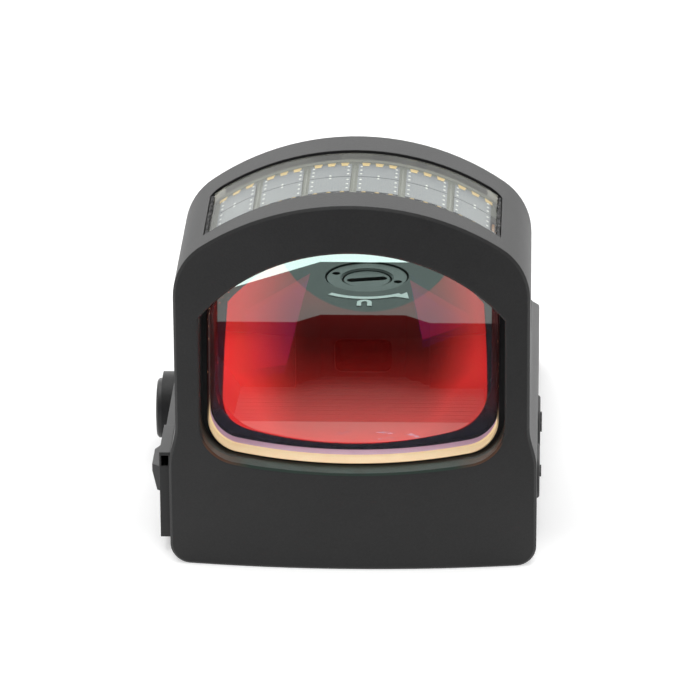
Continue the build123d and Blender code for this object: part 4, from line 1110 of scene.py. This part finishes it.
def add_camera():
    """Camera at the photo's angle: aimed at the target, then panned, tilted and rolled."""
    away = direction(CAMERA_AZIMUTH, CAMERA_ELEVATION)
    forward = -away
    right = forward.cross(Vector((0, 0, 1))).normalized()
    up = right.cross(forward)
    pan, tilt, roll = (math.radians(v) for v in (CAMERA_PAN, CAMERA_TILT, CAMERA_ROLL))
    aim = (forward + right * math.tan(pan) + up * math.tan(tilt)).normalized()
    level = aim.cross(Vector((0, 0, 1))).normalized()
    over = level.cross(aim)
    right = level * math.cos(roll) + over * math.sin(roll)
    up = over * math.cos(roll) - level * math.sin(roll)
    data = bpy.data.cameras.new("camera")
    data.lens = CAMERA_LENS
    data.sensor_width = 36.0
    data.clip_start = 0.01
    camera = bpy.data.objects.new("camera", data)
    place = Matrix((right, up, -aim)).transposed().to_4x4()
    place.translation = CAMERA_TARGET + away * CAMERA_DISTANCE
    camera.matrix_world = place
    bpy.context.scene.collection.objects.link(camera)
    bpy.context.scene.camera = camera
    return camera


FLOOR_FILL_START = -26 * MM
FLOOR_FILL_END = -160 * MM
FLOOR_GLOW = 0.27
FLOOR_SHADOW_FILL = 0.27


def sheet_mesh(name, corners, finish):
    """Flat stage panel through the given corners."""
    mesh = bpy.data.meshes.new(name)
    mesh.from_pydata(corners, [], [tuple(range(len(corners)))])
    mesh.materials.append(finish)
    panel = bpy.data.objects.new(name, mesh)
    bpy.context.scene.collection.objects.link(panel)
    return panel


def floor_surface(tree):
    """White studio floor, self-lit so that it stays white, with more painted light just ahead of the object to
    hide its shadow there.
    """
    place, _, y, _ = spot(tree)
    ahead = ramp(tree, y, FLOOR_FILL_START, FLOOR_FILL_START - 12 * MM)
    near = ramp(tree, y, FLOOR_FILL_END, FLOOR_FILL_END + 70 * MM)
    # painted light: extra glow ahead of the object paints out the object's shadow on the floor
    lift = calc(tree, "MULTIPLY", calc(tree, "MULTIPLY", ahead, near), FLOOR_SHADOW_FILL)
    paper = noise(tree, place, 3.0 * MM, 3.0)
    colour = blend_colour(tree, paper, grey(0.70), grey(0.74))
    return principled(
        tree,
        Base_Color=colour,
        Roughness=0.8,
        Emission_Color=grey(1.0),
        Emission_Strength=calc(tree, "ADD", lift, FLOOR_GLOW),
    )


def area_light(name, place, aim, size, power):
    """Rectangular softbox facing a point."""
    data = bpy.data.lights.new(name, "AREA")
    data.shape = "RECTANGLE"
    data.size, data.size_y = size
    data.energy = power
    lamp = bpy.data.objects.new(name, data)
    lamp.location = place
    lamp.rotation_euler = (Vector(aim) - Vector(place)).to_track_quat("-Z", "Y").to_euler()
    bpy.context.scene.collection.objects.link(lamp)
    return lamp


def dark(tree):
    """Surface that gives back no light."""
    return node(tree, "BsdfDiffuse", Color=grey(0.0)).outputs[0]


def only_in_reflections(panel):
    """Leaves a stage panel visible to glossy rays alone."""
    panel.visible_camera = False
    panel.visible_diffuse = False
    panel.visible_transmission = False
    panel.visible_volume_scatter = False
    panel.visible_shadow = False


camera = add_camera()

FLOOR_HALF = 3.0
sheet_mesh(
    "floor",
    [(x * FLOOR_HALF, y * FLOOR_HALF, 0) for x, y in ((-1, -1), (1, -1), (1, 1), (-1, 1))],
    material("floor_paper", floor_surface),
)

world = bpy.data.worlds.new("studio")
world.use_nodes = True
world.node_tree.nodes["Background"].inputs["Color"].default_value = grey(1.0)
world.node_tree.nodes["Background"].inputs["Strength"].default_value = 0.85
bpy.context.scene.world = world
bpy.context.scene.view_settings.view_transform = "Standard"

area_light("overhead_softbox", (0.0, 0.10, 0.9), CAMERA_TARGET, (0.8, 0.8), 5.0)
area_light("back_softbox", (0.0, 0.9, 0.42), CAMERA_TARGET, (1.5, 0.7), 4.2)

LENS_RING = 123 * MM
RING_ACROSS = -13.5 * MM
RING_AHEAD = -8 * MM
RING_STEPS = 96
camera_axes = camera.matrix_world.to_3x3()
ring = [
    camera.location
    + camera_axes
    @ Vector((RING_ACROSS + math.cos(a) * LENS_RING, math.sin(a) * LENS_RING, RING_AHEAD))
    for a in (2 * math.pi * k / RING_STEPS for k in range(RING_STEPS))
]
only_in_reflections(sheet_mesh("camera_shade", ring, material("camera_black", dark)))


def front_shade(tree):
    """Unlit side of the studio behind the camera, and the table's shaded end.

    It's deepest straight ahead of the lens, thinner near the object and above the horizon, and
    darker towards +X than towards -X.
    """
    _, x, y, z = spot(tree)
    away = calc(tree, "SUBTRACT", LENS_LOW.y, y)
    slant = calc(tree, "DIVIDE", x, calc(tree, "ADD", away, 0.0285))
    middle = ramp(tree, calc(tree, "ABSOLUTE", slant), 0.42, 0.16)
    deep = calc(tree, "SUBTRACT", 0.96, calc(tree, "DIVIDE", 0.017, away))
    high = ramp(tree, z, 0.02, 0.10)
    core = calc(tree, "MULTIPLY", middle, calc(tree, "MULTIPLY_ADD", high, -0.15, deep))
    lifted = calc(tree, "MULTIPLY", ramp(tree, z, 0.004, 0.001), ramp(tree, away, 0.12, 0.05))
    wing = calc(tree, "MULTIPLY", ramp(tree, slant, 0.05, 0.30), 0.28)
    spread = calc(tree, "MULTIPLY_ADD", lifted, 0.26, wing)
    cover = calc(tree, "MAXIMUM", core, spread)
    return shade_mix(tree, cover, clear(tree, grey(1.0)), dark(tree))


shade_finish = material("front_shade", front_shade)
TABLE_END = LENS_LOW.y - 0.45
TABLE_START = LENS_LOW.y - 0.018
SHADE_HALF = 0.26
SHADE_HIGH = 0.40
SHADE_LIFT = 0.3 * MM
only_in_reflections(
    sheet_mesh(
        "table_shade",
        [
            (-SHADE_HALF, TABLE_END, SHADE_LIFT),
            (SHADE_HALF, TABLE_END, SHADE_LIFT),
            (SHADE_HALF, TABLE_START, SHADE_LIFT),
            (-SHADE_HALF, TABLE_START, SHADE_LIFT),
        ],
        shade_finish,
    )
)
only_in_reflections(
    sheet_mesh(
        "figure_shade",
        [
            (-SHADE_HALF, TABLE_END, 0.0),
            (SHADE_HALF, TABLE_END, 0.0),
            (SHADE_HALF, TABLE_END, SHADE_HIGH),
            (-SHADE_HALF, TABLE_END, SHADE_HIGH),
        ],
        shade_finish,
    )
)


def violet_glow(tree):
    """Blue-violet light panel, seen only as a faint patch in the lens."""
    x = spot(tree)[1]
    fall = ramp(tree, calc(tree, "ABSOLUTE", x), 0.048, 0.014, 0.25, 1.0)
    strength = calc(tree, "MULTIPLY", fall, 1.15)
    lamp = node(tree, "Emission", Color=rgb(0.14, 0.12, 1.0), Strength=strength)
    return shade_sum(tree, clear(tree, grey(1.0)), lamp.outputs[0])


GLOW_Y = LENS_LOW.y - 0.10
GLOW_CORNERS = {
    "violet_panel_left": [(-20.3, 40.9), (-45.7, 25.2), (-41.6, 2.8), (-28.5, 5.8)],
    "violet_panel_right": [(17.3, 38.7), (39.9, 24.5), (39.9, 21.4), (21.6, 15.8)],
}
violet = material("violet_panel", violet_glow)
for name, corners in GLOW_CORNERS.items():
    only_in_reflections(
        sheet_mesh(name, [(x * MM, GLOW_Y, z * MM) for x, z in corners], violet)
    )
